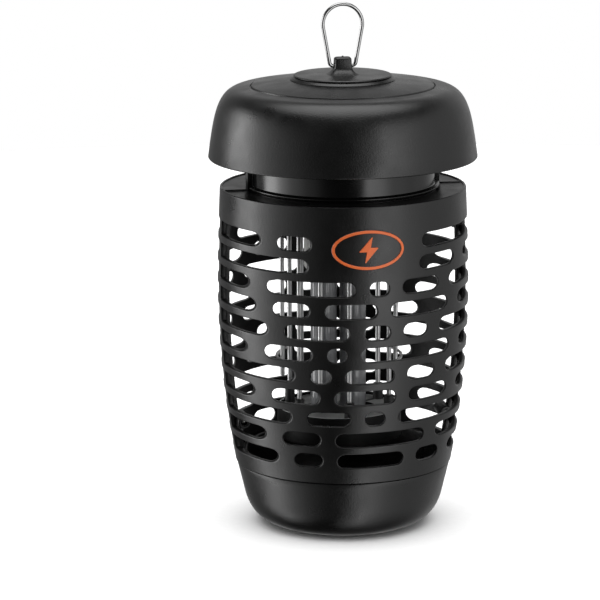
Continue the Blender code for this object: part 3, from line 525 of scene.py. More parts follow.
GAP = 0.3
CAGE_LOW = 31.0
CAGE_HIGH = 166.0
CAGE_WALL = 2.5
WIDEST = (60.8, 118.0)
CAGE_LOW_R = 52.6
CAGE_HIGH_R = 59.4
SHELF_HOLE_R = 44.9
SHELF_THICKNESS = 2.5
SEAM_BAR = 2.2
SEAM_EDGE = GAP / 2 + 0.2       # where the small chamfer beside the seam begins
ROW_TOP_Z = 147.9
ROW_PITCH = 10.55
SLOT_HEIGHT = 7.0
WEB = 6.6
PANEL = 53.0
PANELS = {0: 0.5, 1: -1.0}
WEBS = (
    (-43.7,),
    (48.8,),
    (-48.1, -2.8, 13.5, 39.4),
    (-45.8, -23.6, 7.6, 44.8),
    (-41.2, -5.4, 14.1, 33.4),
    (-49.1, -22.5, -6.7, 45.9),
    (-29.9, -14.0, 16.3, 37.6),
    (-46.0, -18.9, 17.2, 44.9),
    (-30.9, -4.5, 12.0),
    (-41.0, -18.0, 32.7),
    (-35.8, -16.8, 22.1, 41.3),
)
LIP_OUT = 0.40
LIP_IN = 0.25
SUPPORT = 0.20
KEEP_OFF = 0.9                  # grid points stay this far from the ring round a slot
COLUMNS = 72
SHEET_WIDTH = 95.0              # unrolled half-width, used for spacing only
SEAM_SCREWS = ((50.2, 52.0), (53.2, 157.0))
SHELF_DROP = 0.6                # the shelf lies this far below the top of the cage


def cage_radius(z):
    """Outer radius of the cage at a height."""
    if z < WIDEST[1]:
        share = (WIDEST[1] - z) / (WIDEST[1] - CAGE_LOW)
        return WIDEST[0] - (WIDEST[0] - CAGE_LOW_R) * share ** 2.1
    share = (z - WIDEST[1]) / (CAGE_HIGH - WIDEST[1])
    return WIDEST[0] - (WIDEST[0] - CAGE_HIGH_R) * share ** 1.6


def edge_angle(rho):
    """Angle from the front at which a half of the cage ends, at a radius."""
    return acos(SEAM_EDGE / rho)


def at(s, rho, z):
    """Point of the front half: s runs from -1 at the left seam to 1 at the right one."""
    turn = s * edge_angle(rho)
    return Vector((rho * sin(turn), -rho * cos(turn), z))


def row_slots(row):
    """Left and right ends of the slots of a row, with None where a slot runs to the seam."""
    closed = [(x - WEB / 2, x + WEB / 2) for x in WEBS[row]]
    if row in PANELS:
        closed.append((PANELS[row] - PANEL / 2, PANELS[row] + PANEL / 2))
    closed.sort()
    starts = [None] + [right for _, right in closed]
    ends = [left for left, _ in closed] + [None]
    return list(zip(starts, ends))


def slot_end(x, side, z0, grow, depth):
    """Points of one end of a slot as (s, z), from the bottom to the top."""
    half = SLOT_HEIGHT / 2
    points = []
    if x is not None:
        for px, pz in arc((x - side * half, z0), half + grow, -90, 90, 8):
            rho = cage_radius(pz) - depth
            px = x - side * half + side * (px - (x - side * half))
            points.append((asin(px / rho) / edge_angle(rho), pz))
        return points
    corner = 0.7
    for sign in (-1, 1):
        turns = (0, 45, 90) if sign < 0 else (90, 45, 0)
        for degrees in turns:
            b = radians(degrees)
            y = SEAM_BAR + corner - (corner + grow) * sin(b)
            pz = z0 + sign * (half - corner + (corner + grow) * cos(b))
            rho = cage_radius(pz) - depth
            points.append((side * acos(y / rho) / edge_angle(rho), pz))
    return points


def slot_ring(left, right, z0, grow, depth):
    """Closed loop round a slot as (s, z), anticlockwise seen from outside."""
    ends = (slot_end(right, 1, z0, grow, depth), slot_end(left, -1, z0, grow, depth)[::-1])
    plain = (slot_end(right, 1, z0, 0.0, 0.0), slot_end(left, -1, z0, 0.0, 0.0))
    steps = max(2, round((plain[0][-1][0] - plain[1][-1][0]) * SHEET_WIDTH / (2.3)))
    ring = list(ends[0])
    for first, second in ((ends[0][-1], ends[1][0]), (ends[1][-1], ends[0][0])):
        if first is ends[1][-1]:
            ring += ends[1]
        ring += between(first, second, steps)
    return ring


def lip_steps():
    """(growth, depth) pairs from the outer surface through a slot to the inner one."""
    steps = [(LIP_OUT + SUPPORT, 0.0)]
    for k in range(4):
        t = radians(30 * k)
        steps.append((LIP_OUT * (1 - sin(t)), LIP_OUT * (1 - cos(t))))
    for k in range(3):
        t = radians(45 * k)
        steps.append((LIP_IN * (1 - cos(t)), CAGE_WALL - LIP_IN * (1 - sin(t))))
    steps.append((LIP_IN + SUPPORT, CAGE_WALL))
    return steps


def cage_levels(low, high):
    """Heights of the grid points between two heights, in step with the rows."""
    step = ROW_PITCH / 5
    base = ROW_TOP_Z + ROW_PITCH / 2
    count = int((base - low) / step)
    heights = [base - step * k for k in range(count, -7, -1)]
    return [low] + [z for z in heights if low + step * 0.4 < z < high - step * 0.4] + [high]


def put_cage_sheet(bm, depth, low, high, grow):
    """The outer or inner surface of a cage half, with its slots left open."""
    levels = cage_levels(low, high)
    slots = []
    for row in range(len(WEBS)):
        z0 = ROW_TOP_Z - ROW_PITCH * row
        for left, right in row_slots(row):
            wide = slot_ring(left, right, z0, grow + KEEP_OFF, depth)
            slots.append((z0, slot_ring(left, right, z0, grow, depth), wide))
    points, edges = [], []

    def add_loop(loop):
        base = len(points)
        points.extend(Vector((s * SHEET_WIDTH, z)) for s, z in loop)
        edges.extend((base + k, base + (k + 1) % len(loop)) for k in range(len(loop)))

    span = [-1 + 2 * k / COLUMNS for k in range(COLUMNS + 1)]
    add_loop([(s, low) for s in span] + [(1.0, z) for z in levels[1:-1]]
             + [(s, high) for s in span[::-1]] + [(-1.0, z) for z in levels[-2:0:-1]])
    for _, ring, _ in slots:
        add_loop(ring)
    reach = SLOT_HEIGHT / 2 + grow + KEEP_OFF + 0.05
    for z in levels[1:-1]:
        near = [wide for z0, _, wide in slots if abs(z - z0) < reach]
        for s in span[1:-1]:
            if not any(inside((s, z), wide) for wide in near):
                points.append(Vector((s * SHEET_WIDTH, z)))
    placed, _, faces, _, _, _ = delaunay_2d_cdt(points, edges, [], 0, CDT_NEAR)
    verts = [vert(bm, at(p.x / SHEET_WIDTH, cage_radius(p.y) - depth, p.y)) for p in placed]
    for face in faces:
        middle = sum((placed[k] for k in face), Vector((0, 0))) / 3
        spot = (middle.x / SHEET_WIDTH, middle.y)
        near = [ring for z0, ring, _ in slots if abs(middle.y - z0) < reach]
        if not any(inside(spot, ring) for ring in near):
            bm.faces.new([verts[k] for k in face])


def cage_section():
    """Closed section of the cage as (radius, height), and where its two surfaces begin and end."""
    low, high, under = CAGE_LOW + 0.4, CAGE_HIGH - 0.7, CAGE_HIGH - SHELF_THICKNESS - SHELF_DROP - 1.2
    outer = [(cage_radius(z), z) for z in cage_levels(low, high)]
    inner = [(cage_radius(z) - CAGE_WALL, z) for z in cage_levels(low, under)][::-1]
    shelf = CAGE_HIGH - SHELF_DROP
    shelf_low = shelf - SHELF_THICKNESS
    wall = cage_radius(CAGE_HIGH)
    over = rounded([outer[-1], (wall, CAGE_HIGH, 0.5), (wall - 1.3, CAGE_HIGH, 0.2),
                    (wall - 1.3, shelf, 0.2), (SHELF_HOLE_R, shelf, 0.4),
                    (SHELF_HOLE_R, shelf_low, 0.3),
                    (cage_radius(shelf_low) - CAGE_WALL, shelf_low, 1.1), inner[0]])
    round_low = rounded([inner[-1], (cage_radius(CAGE_LOW) - CAGE_WALL, CAGE_LOW, 0.3),
                         (cage_radius(CAGE_LOW), CAGE_LOW, 0.3), outer[0]])
    return outer, over, inner, round_low, (low, high, under)


def make_cage_half(name, turn):
    """One half of the cage, made as the front half and turned."""
    outer, over, inner, round_low, (low, high, under) = cage_section()
    bm = bmesh.new()
    lips = lip_steps()
    put_cage_sheet(bm, 0.0, low, high, lips[0][0])
    put_cage_sheet(bm, CAGE_WALL, low, under, lips[-1][0])
    for row in range(len(WEBS)):
        z0 = ROW_TOP_Z - ROW_PITCH * row
        for left, right in row_slots(row):
            rows = []
            for grow, depth in lips:
                ring = slot_ring(left, right, z0, grow, depth)
                rows.append([vert(bm, at(s, cage_radius(z) - depth, z)) for s, z in ring])
            skin(bm, rows, wrap_columns=True)
    span = [-1 + 2 * k / COLUMNS for k in range(COLUMNS + 1)]
    for strip in (over, round_low):
        skin(bm, [[vert(bm, at(s, r, z)) for s in span] for r, z in strip])
    # a small chamfer along the seam, then the flat face of the seam
    section = outer + over[1:-1] + inner + round_low[1:-1]
    count = len(section)
    chamfer = SEAM_EDGE - GAP / 2
    for side in (-1, 1):
        near, far = [], []
        for k, (r, z) in enumerate(section):
            back, ahead = Vector(section[k - 1]), Vector(section[(k + 1) % count])
            along = (ahead - back).normalized()
            r2, z2 = r - along.y * chamfer, z + along.x * chamfer
            near.append(vert(bm, at(side, r, z)))
            far.append(vert(bm, (side * sqrt(r2 * r2 - GAP * GAP / 4), -GAP / 2, z2)))
        skin(bm, [near, far], wrap_columns=True)
        bm.faces.new(far)
    bmesh.ops.transform(bm, matrix=Matrix.Rotation(turn, 4, "Z"), verts=bm.verts)
    piece(name + "_shell", bm, "black_plastic", [name], look=SHADED)


def make_seam_ribs(name, turn):
    """Stiffening ribs inside both edges of a cage half, and the round screw bosses."""
    bm = bmesh.new()
    low, high = 38.0, CAGE_HIGH - 3.0
    steps = 40
    for side in (-1, 1):
        loops = []
        for k in range(steps + 1):
            z = low + (high - low) * k / steps
            start, end = cage_radius(z) - 1.2, cage_radius(z) - 4.7
            middle, half = (start + end) / 2, (start - end) / 2
            plan = rounded_box(half, 0.92, 0.3, 2)
            loops.append([(side * (middle + x), y - GAP / 2 - 0.93, z) for x, y in plan])
        put_stack(bm, loops)
    turn_by = Matrix.Rotation(turn, 4, "Z")
    bmesh.ops.transform(bm, matrix=turn_by, verts=bm.verts)
    piece(name + "_ribs", bm, "black_plastic", look=SHADED)
    bm = bmesh.new()
    profile = rounded([(1.7, GAP / 2), (3.2, GAP / 2), (3.2, 7.0, 0.4), (1.7, 7.0, 0.2)], closed=True)
    for side in (-1, 1):
        for x, z in SEAM_SCREWS:
            lay = Matrix.Translation((side * x, 0, z)) @ Matrix.Rotation(pi / 2, 4, "X")
            put_turned(bm, profile, 32, lay=turn_by @ lay)
    piece(name + "_bosses", bm, "black_plastic", look=SHADED)


def make_shelf_posts():
    """Two short posts at each seam, which centre the neck on the shelf."""
    bm = bmesh.new()
    for side in (-1, 1):
        for half in (-1, 1):
            y = sorted((half * 0.25, half * 2.6))
            x = sorted((side * 44.6, side * 47.2))
            put_box(bm, (x[0], y[0], 164.5), (x[1], y[1], 186.0), 0.5, 0.4)
    piece("shelf_posts", bm, "black_plastic", look=SHADED)


def make_shelf_ridges():
    """A low ridge on the shelf beside each seam, where one half laps over the other."""
    bm = bmesh.new()
    shelf = CAGE_HIGH - SHELF_DROP
    for side in (-1, 1):
        x = sorted((side * 47.4, side * 57.9))
        low, high = (x[0], -1.5, shelf - 0.3), (x[1], -0.35, CAGE_HIGH - 0.05)
        put_box(bm, low, high, 0.3, 0.1)
    piece("shelf_ridges", bm, "black_plastic", look=SHADED)


# ---- neck

def make_neck():
    r, wall = 44.2, 2.4
    top, groove = 211.1, 44.6
    shelf = CAGE_HIGH - SHELF_THICKNESS
    corners = [
        (r - wall, top, 0.4), (r, top, 0.4), (r, CAGE_HIGH + 1.6, 0.5),
        (46.5, CAGE_HIGH + 1.2, 0.3), (46.5, CAGE_HIGH + GAP, 0.15),
        (groove, CAGE_HIGH + GAP, 0.1), (groove, shelf - 1.0, 0.1),
        (47.5, shelf - 1.0, 0.3), (47.5, 160.8, 0.3),
        (r - wall, 160.8, 0.3),
    ]
    turned("neck_shell", rounded(corners, closed=True), 144, "gloss_black_plastic", "neck_housing")


# ---- cap

CAP_RIM = (65.0, 180.0)
CAP_LEAN = 0.148
CAP_SHOULDER_Z = 187.4


def cap_dome(crown, inset, steps):
    """Points of the dome from the crown down to the shoulder, on a cubic curve."""
    shoulder = Vector((CAP_RIM[0] - inset - CAP_LEAN * (CAP_SHOULDER_Z - CAP_RIM[1]), CAP_SHOULDER_Z))
    top = Vector(crown)
    up = Vector((-CAP_LEAN, 1.0)).normalized() * (16.0 - inset / 2)
    out = Vector((1.0, 0.0)) * (10.8 - inset / 2)
    points = []
    for k in range(steps + 1):
        t = k / steps
        point = (1 - t) ** 3 * top + 3 * t * (1 - t) ** 2 * (top + out)
        point += 3 * t * t * (1 - t) * (shoulder + up) + t ** 3 * shoulder
        points.append(tuple(point))
    return points


def make_cap():
    wall = 2.4
    top, under = 217.6, 215.0
    seat = 211.4
    outside = rounded([(0.0, top), (25.0, top - 0.15, 3.0), (43.7, 214.95, 0.25),
                       (44.0, 213.8, 0.1), (44.4, 213.8, 0.1),
                       (44.6, 214.5, 0.2), (47.4, 214.0)])
    outside += cap_dome((48.4, 213.9), 0.0, 26)[1:]
    outside += rounded([outside[-1], (CAP_RIM[0], CAP_RIM[1], 0.7),
                        (CAP_RIM[0] - wall, CAP_RIM[1], 0.5),
                        (CAP_RIM[0] - wall - 1.0, CAP_RIM[1] + 6.0)])[1:-1]
    inside_dome = cap_dome((46.0, seat), wall, 16)[::-1]
    profile = outside + inside_dome + [(41.0, seat), (40.5, 213.2), (25.0, under), (0.0, under)]
    turned("cap_shell", profile, 192, "black_plastic", "cap")


# ---- hanger

PLATE_TOP = 220.0
LUG_TOP = 228.3
EYE_Z = 224.0


def make_hanger():
    foot = 217.7
    corners = [(0.0, PLATE_TOP), (10.0, PLATE_TOP), (23.0, PLATE_TOP - 0.1, 0.4),
               (23.7, PLATE_TOP - 0.45, 0.2), (23.5, PLATE_TOP - 0.8, 0.15),
               (22.5, PLATE_TOP - 0.85, 0.1), (23.4, PLATE_TOP - 1.15, 0.2),
               (25.4, foot - 0.1, 0.15), (24.6, foot - 0.4), (0.0, foot - 0.4)]
    turned("hanger_disc", rounded(corners), 128, "black_plastic", "hanger_plate")
    # the lug: flared foot, straight sides, softly rounded top
    loops = []
    half_x, half_y = 4.15, 2.8
    levels = [(PLATE_TOP - 0.5, 5.0), (PLATE_TOP + 0.1, 3.4), (PLATE_TOP + 0.6, 2.3),
              (PLATE_TOP + 1.2, 1.4), (PLATE_TOP + 2.0, 0.7), (PLATE_TOP + 3.1, 0.2),
              (EYE_Z + 1.4, -0.05), (LUG_TOP - 1.3, -0.12)]
    for k in range(1, 6):
        t = radians(18 * k)
        levels.append((LUG_TOP - 1.3 + 1.3 * sin(t), -0.12 - 1.3 * (1 - cos(t)) * 0.9))
    for z, flare in levels:
        plan = rounded_box(half_x + flare, half_y + flare * 1.25, 1.1 + max(flare, 0), 5)
        loops.append([(x, y, z) for x, y in plan])
    lug = bmesh.new()
    put_stack(lug, loops)
    tool = bmesh.new()
    eye = [Vector((-9.0, 0, EYE_Z)), Vector((9.0, 0, EYE_Z))]
    put_swept(tool, eye, 1.4, 24)
    piece("hanger_lug", carved(lug, tool), "black_plastic")
    high, low = LUG_TOP + 0.45, LUG_TOP - 0.4
    nib = rounded([(0.0, high), (0.45, high, 0.15), (0.6, low), (0.0, low)])
    turned("hanger_nib", nib, 16, "black_plastic")


def make_wire():
    """The wire loop, one bent wire whose two ends lie in the eye of the lug."""
    wire_r, half_width, top = 0.9, 10.5, 254.5
    foot_x, foot_r = 6.4, 1.8
    foot = arc((foot_x - foot_r, foot_r), foot_r, -90, -12, 8)
    bow_r = half_width - wire_r
    bow_z = top - EYE_Z - wire_r - bow_r
    bow = arc((0, bow_z), bow_r, -9, 90, 24)
    right = [(0.6, 0.0), (2.6, 0.0)] + foot + between(foot[-1], bow[0], 8) + bow
    left = [(-x, z) for x, z in reversed(right[:-1])]
    bm = bmesh.new()
    put_swept(bm, [(x, 0, z + EYE_Z) for x, z in right + left], wire_r, 20)
    piece("wire_loop", bm, "bright_steel", ["hanging_wire"], "hanger", 60, WIRE)


# ---- grid and lamp

GRID = (-2.0, 0.0)
OUTER_RING = 28.1
INNER_RING = 25.5
ROD_R = 1.15
LAMP_X = -2.4
PLATE_LOW, PLATE_HIGH = 157.6, 160.5
SCREW_RING = 38.0


def make_rods():
    for ring, first, end, label in ((OUTER_RING, 30, 73.0, "outer"), (INNER_RING, 0, 52.5, "inner")):
        for k in range(6):
            place = polar(ring, first + 60 * k, 0.0, GRID)
            profile = [(0.0, end), (ROD_R * 0.45, end + 0.06), (ROD_R * 0.8, end + 0.25), (ROD_R, end + 0.7),
                       (ROD_R, PLATE_HIGH - 0.3), (ROD_R * 0.8, PLATE_HIGH), (0.0, PLATE_HIGH)]
            turned(f"{label}_bar_{k + 1}", profile, 20, "bright_steel", f"{label}_rod_{k + 1}",
                   centre=place, look=ROD)


def make_tie_ring():
    section = circle(0.7, 10, (30.35, 82.0))
    turned("tie_hoop", section, 96, "bright_steel", "tie_ring", centre=GRID, sharp=60)


def make_lower_plate():
    """Skirted plate at the foot of the grid, open in the middle for the lamp."""
    r, top, wall, floor = 30.2, 56.0, 1.8, 43.0
    bm = bmesh.new()
    places = [polar(INNER_RING, 60 * k, 0.0, GRID) for k in range(6)]
    holes = [arc((LAMP_X + 8.5, 0), 9.5, -90, 90, 20) + arc((LAMP_X - 8.5, 0), 9.5, 90, 270, 20)]
    holes += [circle(1.5, 14, p) for p in places]
    put_plate(bm, circle(r - 1.0, 96, GRID), holes, top - 2.4, top)
    skirt = rounded([(r - 1.3, top - 0.3), (r - 1.2, top + 1.4, 0.4),
                     (r, top + 1.4, 0.4), (r, floor, 0.4), (r - wall, floor, 0.4),
                     (r - wall, top - 1.5)], closed=True)
    put_turned(bm, skirt, 96, GRID)
    piece("grid_foot", bm, "dark_insulator", ["lower_grid_plate"], look=FOOT)
    boss = [(1.5, top - 1.0), (2.6, top - 1.0), (2.3, top + 8.0, 0.4), (1.5, top + 8.0, 0.2)]
    make_collars("grid_foot_bosses", boss, 24, places)


def make_collars(name, corners, segments, places):
    """Collars round the rods where they pass through a plate."""
    bm = bmesh.new()
    for p in places:
        put_turned(bm, rounded(corners, closed=True), segments, p)
    piece(name, bm, "dark_insulator")


def make_upper_plate():
    bm = bmesh.new()
    holes = [polar(OUTER_RING, 30 + 60 * k, 0, GRID) for k in range(6)]
    holes += [polar(INNER_RING, 60 * k, 0, GRID) for k in range(6)]
    loops = [circle(1.4, 16, p) for p in holes]
    loops += [circle(1.6, 16, polar(SCREW_RING, 120 * k, 0)) for k in range(3)]
    loops.append([(LAMP_X + x, y) for x, y in rounded_box(9.3, 5.3, 1.0)])
    put_plate(bm, circle(47.3, 128), loops, PLATE_LOW, PLATE_HIGH, 0.3)
    piece("grid_top_plate", bm, "dark_insulator", ["upper_grid_plate"])
    collar = [(1.3, PLATE_LOW + 0.4), (2.4, PLATE_LOW + 0.4), (2.1, PLATE_LOW - 2.2, 0.3),
              (1.3, PLATE_LOW - 2.2, 0.15)]
    make_collars("grid_top_collars", collar, 20, holes)


def put_lamp_box(bm, half_x, half_y, low, high, radius, edge):
    """A box centred on the lamp's axis."""
    put_box(bm, (LAMP_X - half_x, -half_y, low), (LAMP_X + half_x, half_y, high), radius, edge)


def make_lamp():
    tube_r, half, bend_z, base = 6.4, 7.2, 59.0, 124.0
    bend = arc((LAMP_X, bend_z), half, 180, 360, 28)
    sides = [base + (bend_z - base) * k / 12 for k in range(12)]
    path = [(LAMP_X - half, z) for z in sides] + bend + [(LAMP_X + half, z) for z in sides[::-1]]
    bm = bmesh.new()
    put_swept(bm, [(x, 0, z) for x, z in path], tube_r, 36)
    piece("lamp_glass_tube", bm, "lamp_glass", ["lamp_tube"], sharp=60)
    bm = bmesh.new()
    put_lamp_box(bm, 16, 9.5, 125.2, 141.0, 5.0, 1.2)
    collar = rounded([(0.0, 123.6), (tube_r + 1.0, 123.6, 0.4), (tube_r + 1.2, 126.0), (0.0, 126.0)])
    for side in (-1, 1):
        put_turned(bm, collar, 36, (LAMP_X + side * half, 0))
    piece("lamp_cap", bm, "white_plastic", ["lamp_base"])
    bm = bmesh.new()
    put_lamp_box(bm, 17, 10.5, 141.3, 157.3, 2.2, 0.7)
    for k in range(5):
        z = 144.5 + 2.4 * k
        put_lamp_box(bm, 17.3, 10.8, z, z + 0.9, 2.3, 0.3)
    put_lamp_box(bm, 9, 5, 156.0, 163.0, 0.8, 0.4)
    piece("lamp_holder", bm, "dark_insulator", ["lamp_socket"])


# ---- gland, screws, badge

def make_gland():
    """Rubber grommet in the back of the neck."""
    r, hole, groove = 5.6, 3.2, 4.6
    wall, end = 1.8, 3.0
    corners = [(hole, end, 0.5), (r, end, 0.5), (r, wall, 0.2), (groove, wall), (groove, -wall),
               (r, -wall, 0.2), (r, -end, 0.5), (hole, -end, 0.5)]
    bm = bmesh.new()
    lay = Matrix.Translation((0, 43.0, 173.4)) @ Matrix.Rotation(-pi / 2, 4, "X")
    put_turned(bm, rounded(corners, closed=True), 40, lay=lay)
    piece("gland_grommet", bm, "black_rubber", ["cord_gland"])


def screw_shape(head_r, head_h, shank_r, length):
    """A pan-head screw with a cross recess and a threaded shank, head upwards at the origin."""
    head = rounded([(0.0, head_h), (head_r * 0.62, head_h, head_r * 0.3),
                    (head_r * 0.98, head_h * 0.45, head_r * 0.2), (head_r, 0.0), (shank_r, 0.0)])
    shank = []
    pitch = 0.7
    count = int(length / pitch)
    for k in range(count):
        z = -pitch * (k + 0.3)
        shank += [(shank_r * 0.82, z), (shank_r, z - pitch * 0.35), (shank_r * 0.82, z - pitch * 0.7)]
    bm = bmesh.new()
    put_turned(bm, head + shank + [(0.0, -length - shank_r * 0.5)], 28)
    tool = bmesh.new()
    for turn in (0, 90):
        wide, deep = head_r * 0.55, head_h * 0.75
        loops = []
        for z, share in ((head_h - deep, 0.45), (head_h + 0.2, 1.0)):
            half = Vector((wide * share, head_r * 0.14))
            loop = [(half.x, half.y), (-half.x, half.y), (-half.x, -half.y), (half.x, -half.y)]
            loops.append([Matrix.Rotation(radians(turn), 3, "Z") @ Vector((x, y, z)) for x, y in loop])
        put_stack(tool, loops)
    return carved(bm, tool)


def make_screws():
    """Screws in the places of the frame's screws."""
    up = Matrix.Identity(4)
    down = Matrix.Rotation(pi, 4, "X")
    back = Matrix.Rotation(-pi / 2, 4, "X")
    places = [(side * x, 7.3, z) for side in (-1, 1) for x, z in SEAM_SCREWS]
    jobs = [(f"cage_screw_{k + 1}", (2.8, 1.6, 1.3, 12.0), place, back) for k, place in enumerate(places)]
    for k in range(3):
        place = polar(SCREW_RING, 120 * k, 0.0)
        jobs.append((f"plate_screw_{k + 1}", (2.8, 1.6, 1.2, 8.5), (place.x, place.y, PLATE_LOW - GAP), down))
        jobs.append((f"board_screw_{k + 1}", (2.6, 1.4, 1.2, 5.0), (place.x, place.y, 174.2), up))
        place = polar(SCREW_RING, 60 + 120 * k, 0.0)
        jobs.append((f"cap_screw_{k + 1}", (3.0, 1.8, 1.2, 18.0), (place.x, place.y, 184.7), down))
    for name, sizes, place, turn in jobs:
        bm = screw_shape(*sizes)
        lay = Matrix.Translation(Vector(place) * MM) @ turn
        bmesh.ops.transform(bm, matrix=lay, verts=bm.verts)
        piece(name + "_cross", bm, "zinc_steel", [name], sharp=30)


BADGE_Z = 145.8
BADGE_HALF = (17.4, 9.5)
BOLT = ((1.9, 6.5), (-4.7, -0.9), (-0.9, -0.9), (-1.9, -6.5), (4.7, 1.1), (0.9, 1.1))


def badge_point(u, v, lift):
    """Point on the badge: u across and v up from its middle, lifted off the cage."""
    z = BADGE_Z + v
    rho = cage_radius(z) + lift
    return Vector((u, -sqrt(rho * rho - u * u), z))


def put_oval_band(bm, outer, inner, low, high, soft):
    """A raised oval band on the badge, between two share sizes; a solid oval if inner is None."""
    steps = 96
    turns = [2 * pi * k / steps for k in range(steps)]

    def ring(half, lift, share=1.0):
        x, y = half[0] * share, half[1] * share
        return [vert(bm, badge_point(x * cos(t), y * sin(t), lift)) for t in turns]

    less = (outer[0] - soft, outer[1] - soft)
    rows = [ring(outer, low), ring(outer, high - soft), ring(less, high)]
    if inner is not None:
        more = (inner[0] + soft, inner[1] + soft)
        rows += [ring(more, high), ring(inner, high - soft), ring(inner, low)]
        skin(bm, rows, wrap_rows=True, wrap_columns=True)
        return
    for start, half, lift in ((rows, less, high), (rows[:1], outer, low)):
        disc = [ring(half, lift, share) for share in (0.8, 0.6, 0.4, 0.2)]
        middle = vert(bm, badge_point(0, 0, lift))
        skin(bm, start + disc + [[middle] * steps], wrap_columns=True)


def make_badge():
    """A plain oval plate with a raised rim and a lightning bolt."""
    bm = bmesh.new()
    put_oval_band(bm, BADGE_HALF, None, 0.05, 0.55, 0.15)
    piece("badge_plate", bm, "black_plastic", ["badge"], look=SHADED)
    bm = bmesh.new()
    rim = (BADGE_HALF[0] - 0.2, BADGE_HALF[1] - 0.2)
    put_oval_band(bm, rim, (rim[0] - 1.35, rim[1] - 1.35), 0.3, 1.0, 0.2)
    piece("badge_rim", bm, "badge_orange")
    loop = rounded([(x, z, 0.18) for x, z in BOLT], closed=True, steps=2)
    bm = bmesh.new()
    rows = []
    for lift, share in ((0.3, 1.0), (0.85, 1.0), (1.0, 0.95)):
        rows.append([vert(bm, badge_point(x * share, z * share, lift)) for x, z in loop])
    skin(bm, rows, wrap_columns=True)
    for ring in (rows[0], rows[-1]):
        edges = [bm.edges.get((ring[k], ring[(k + 1) % len(ring)])) for k in range(len(ring))]
        bmesh.ops.triangle_fill(bm, edges=edges, use_beauty=True)
    piece("badge_bolt", bm, "badge_orange", sharp=25)


# ---- stage, light and camera

# Levels of the studio by direction, in degrees from the camera's side, counted towards the right.
LIGHT_PEAK = 8.0
LEFT_STRIP = ((-180, 0.0), (-118, 0.0), (-109, 4.3), (-95, 4.8), (-82, 1.9), (-64, 0.8), (-40, 0.25),
              (-20, 0.0))
LEFT_HEIGHT = ((-60, 0.0), (-48, 0.55), (-12, 0.85), (2, 1.15), (14, 1.1), (30, 0.0))
LEFT_LEAN = -0.3
RIGHT_BOX = ((21, 0.0), (31, 2.6), (42, 2.2), (66, 0.7), (100, 0.2), (125, 0.0))
RIGHT_HEIGHT = ((-88, 0.0), (-66, 1.0), (24, 1.0), (36, 0.0))
RIGHT_LEAN = 0.28
FILL = ((-180, 0.5), (-145, 0.2), (-40, 0.08), (0, 0.03), (30, 0.05), (60, 0.25), (110, 0.4), (150, 0.5),
        (180, 0.5))
FILL_HEIGHT = ((-60, 0.2), (-30, 1.0), (26, 1.0), (42, 0.15), (90, 0.15))
TOP_LIGHT = ((51, 0.0), (60, 2.5), (90, 3.4))
WASH = 1.7                      # radiance of the light over the floor
WASH_SIZE = 5.0
WASH_HEIGHT = 2.12
FLOOR_R = 1.1
FLOOR_Z = -0.2 * MM
CAMERA_AZIMUTH = -11.5
CAMERA_ELEVATION = 9.823
CAMERA_DISTANCE = 1.6357
CAMERA_LENS = 203.66
CAMERA_ROLL = -0.25
AIM = (-20.9 * MM, 109.2 * MM)  # right of the axis, and height, of the middle of the picture
AXIS_POINT = 0.180              # height on the axis from which the camera stands off


def make_stage():
    """A pale round floor. It takes the shadow, but the object is lit by the soft boxes alone."""
    bm = bmesh.new()
    bmesh.ops.create_circle(bm, cap_ends=True, segments=96, radius=FLOOR_R)
    mesh = bpy.data.meshes.new("floor")
    bm.to_mesh(mesh)
    bm.free()
    floor = bpy.data.objects.new("floor", mesh)
    floor.location.z = FLOOR_Z
    floor.visible_diffuse = False
    floor.visible_glossy = False
    r = Recipe("floor_look")
    fine = r.noise(300.0, 3.0)
    r.set(Base_Color=r.blend(r.spread(fine, 0.0, 1.0), grey(0.72), grey(0.74)), Roughness=0.9)
    r.set(Specular_IOR_Level=0.1)
    mesh.materials.append(r.material)
    bpy.context.scene.collection.objects.link(floor)
    return floor


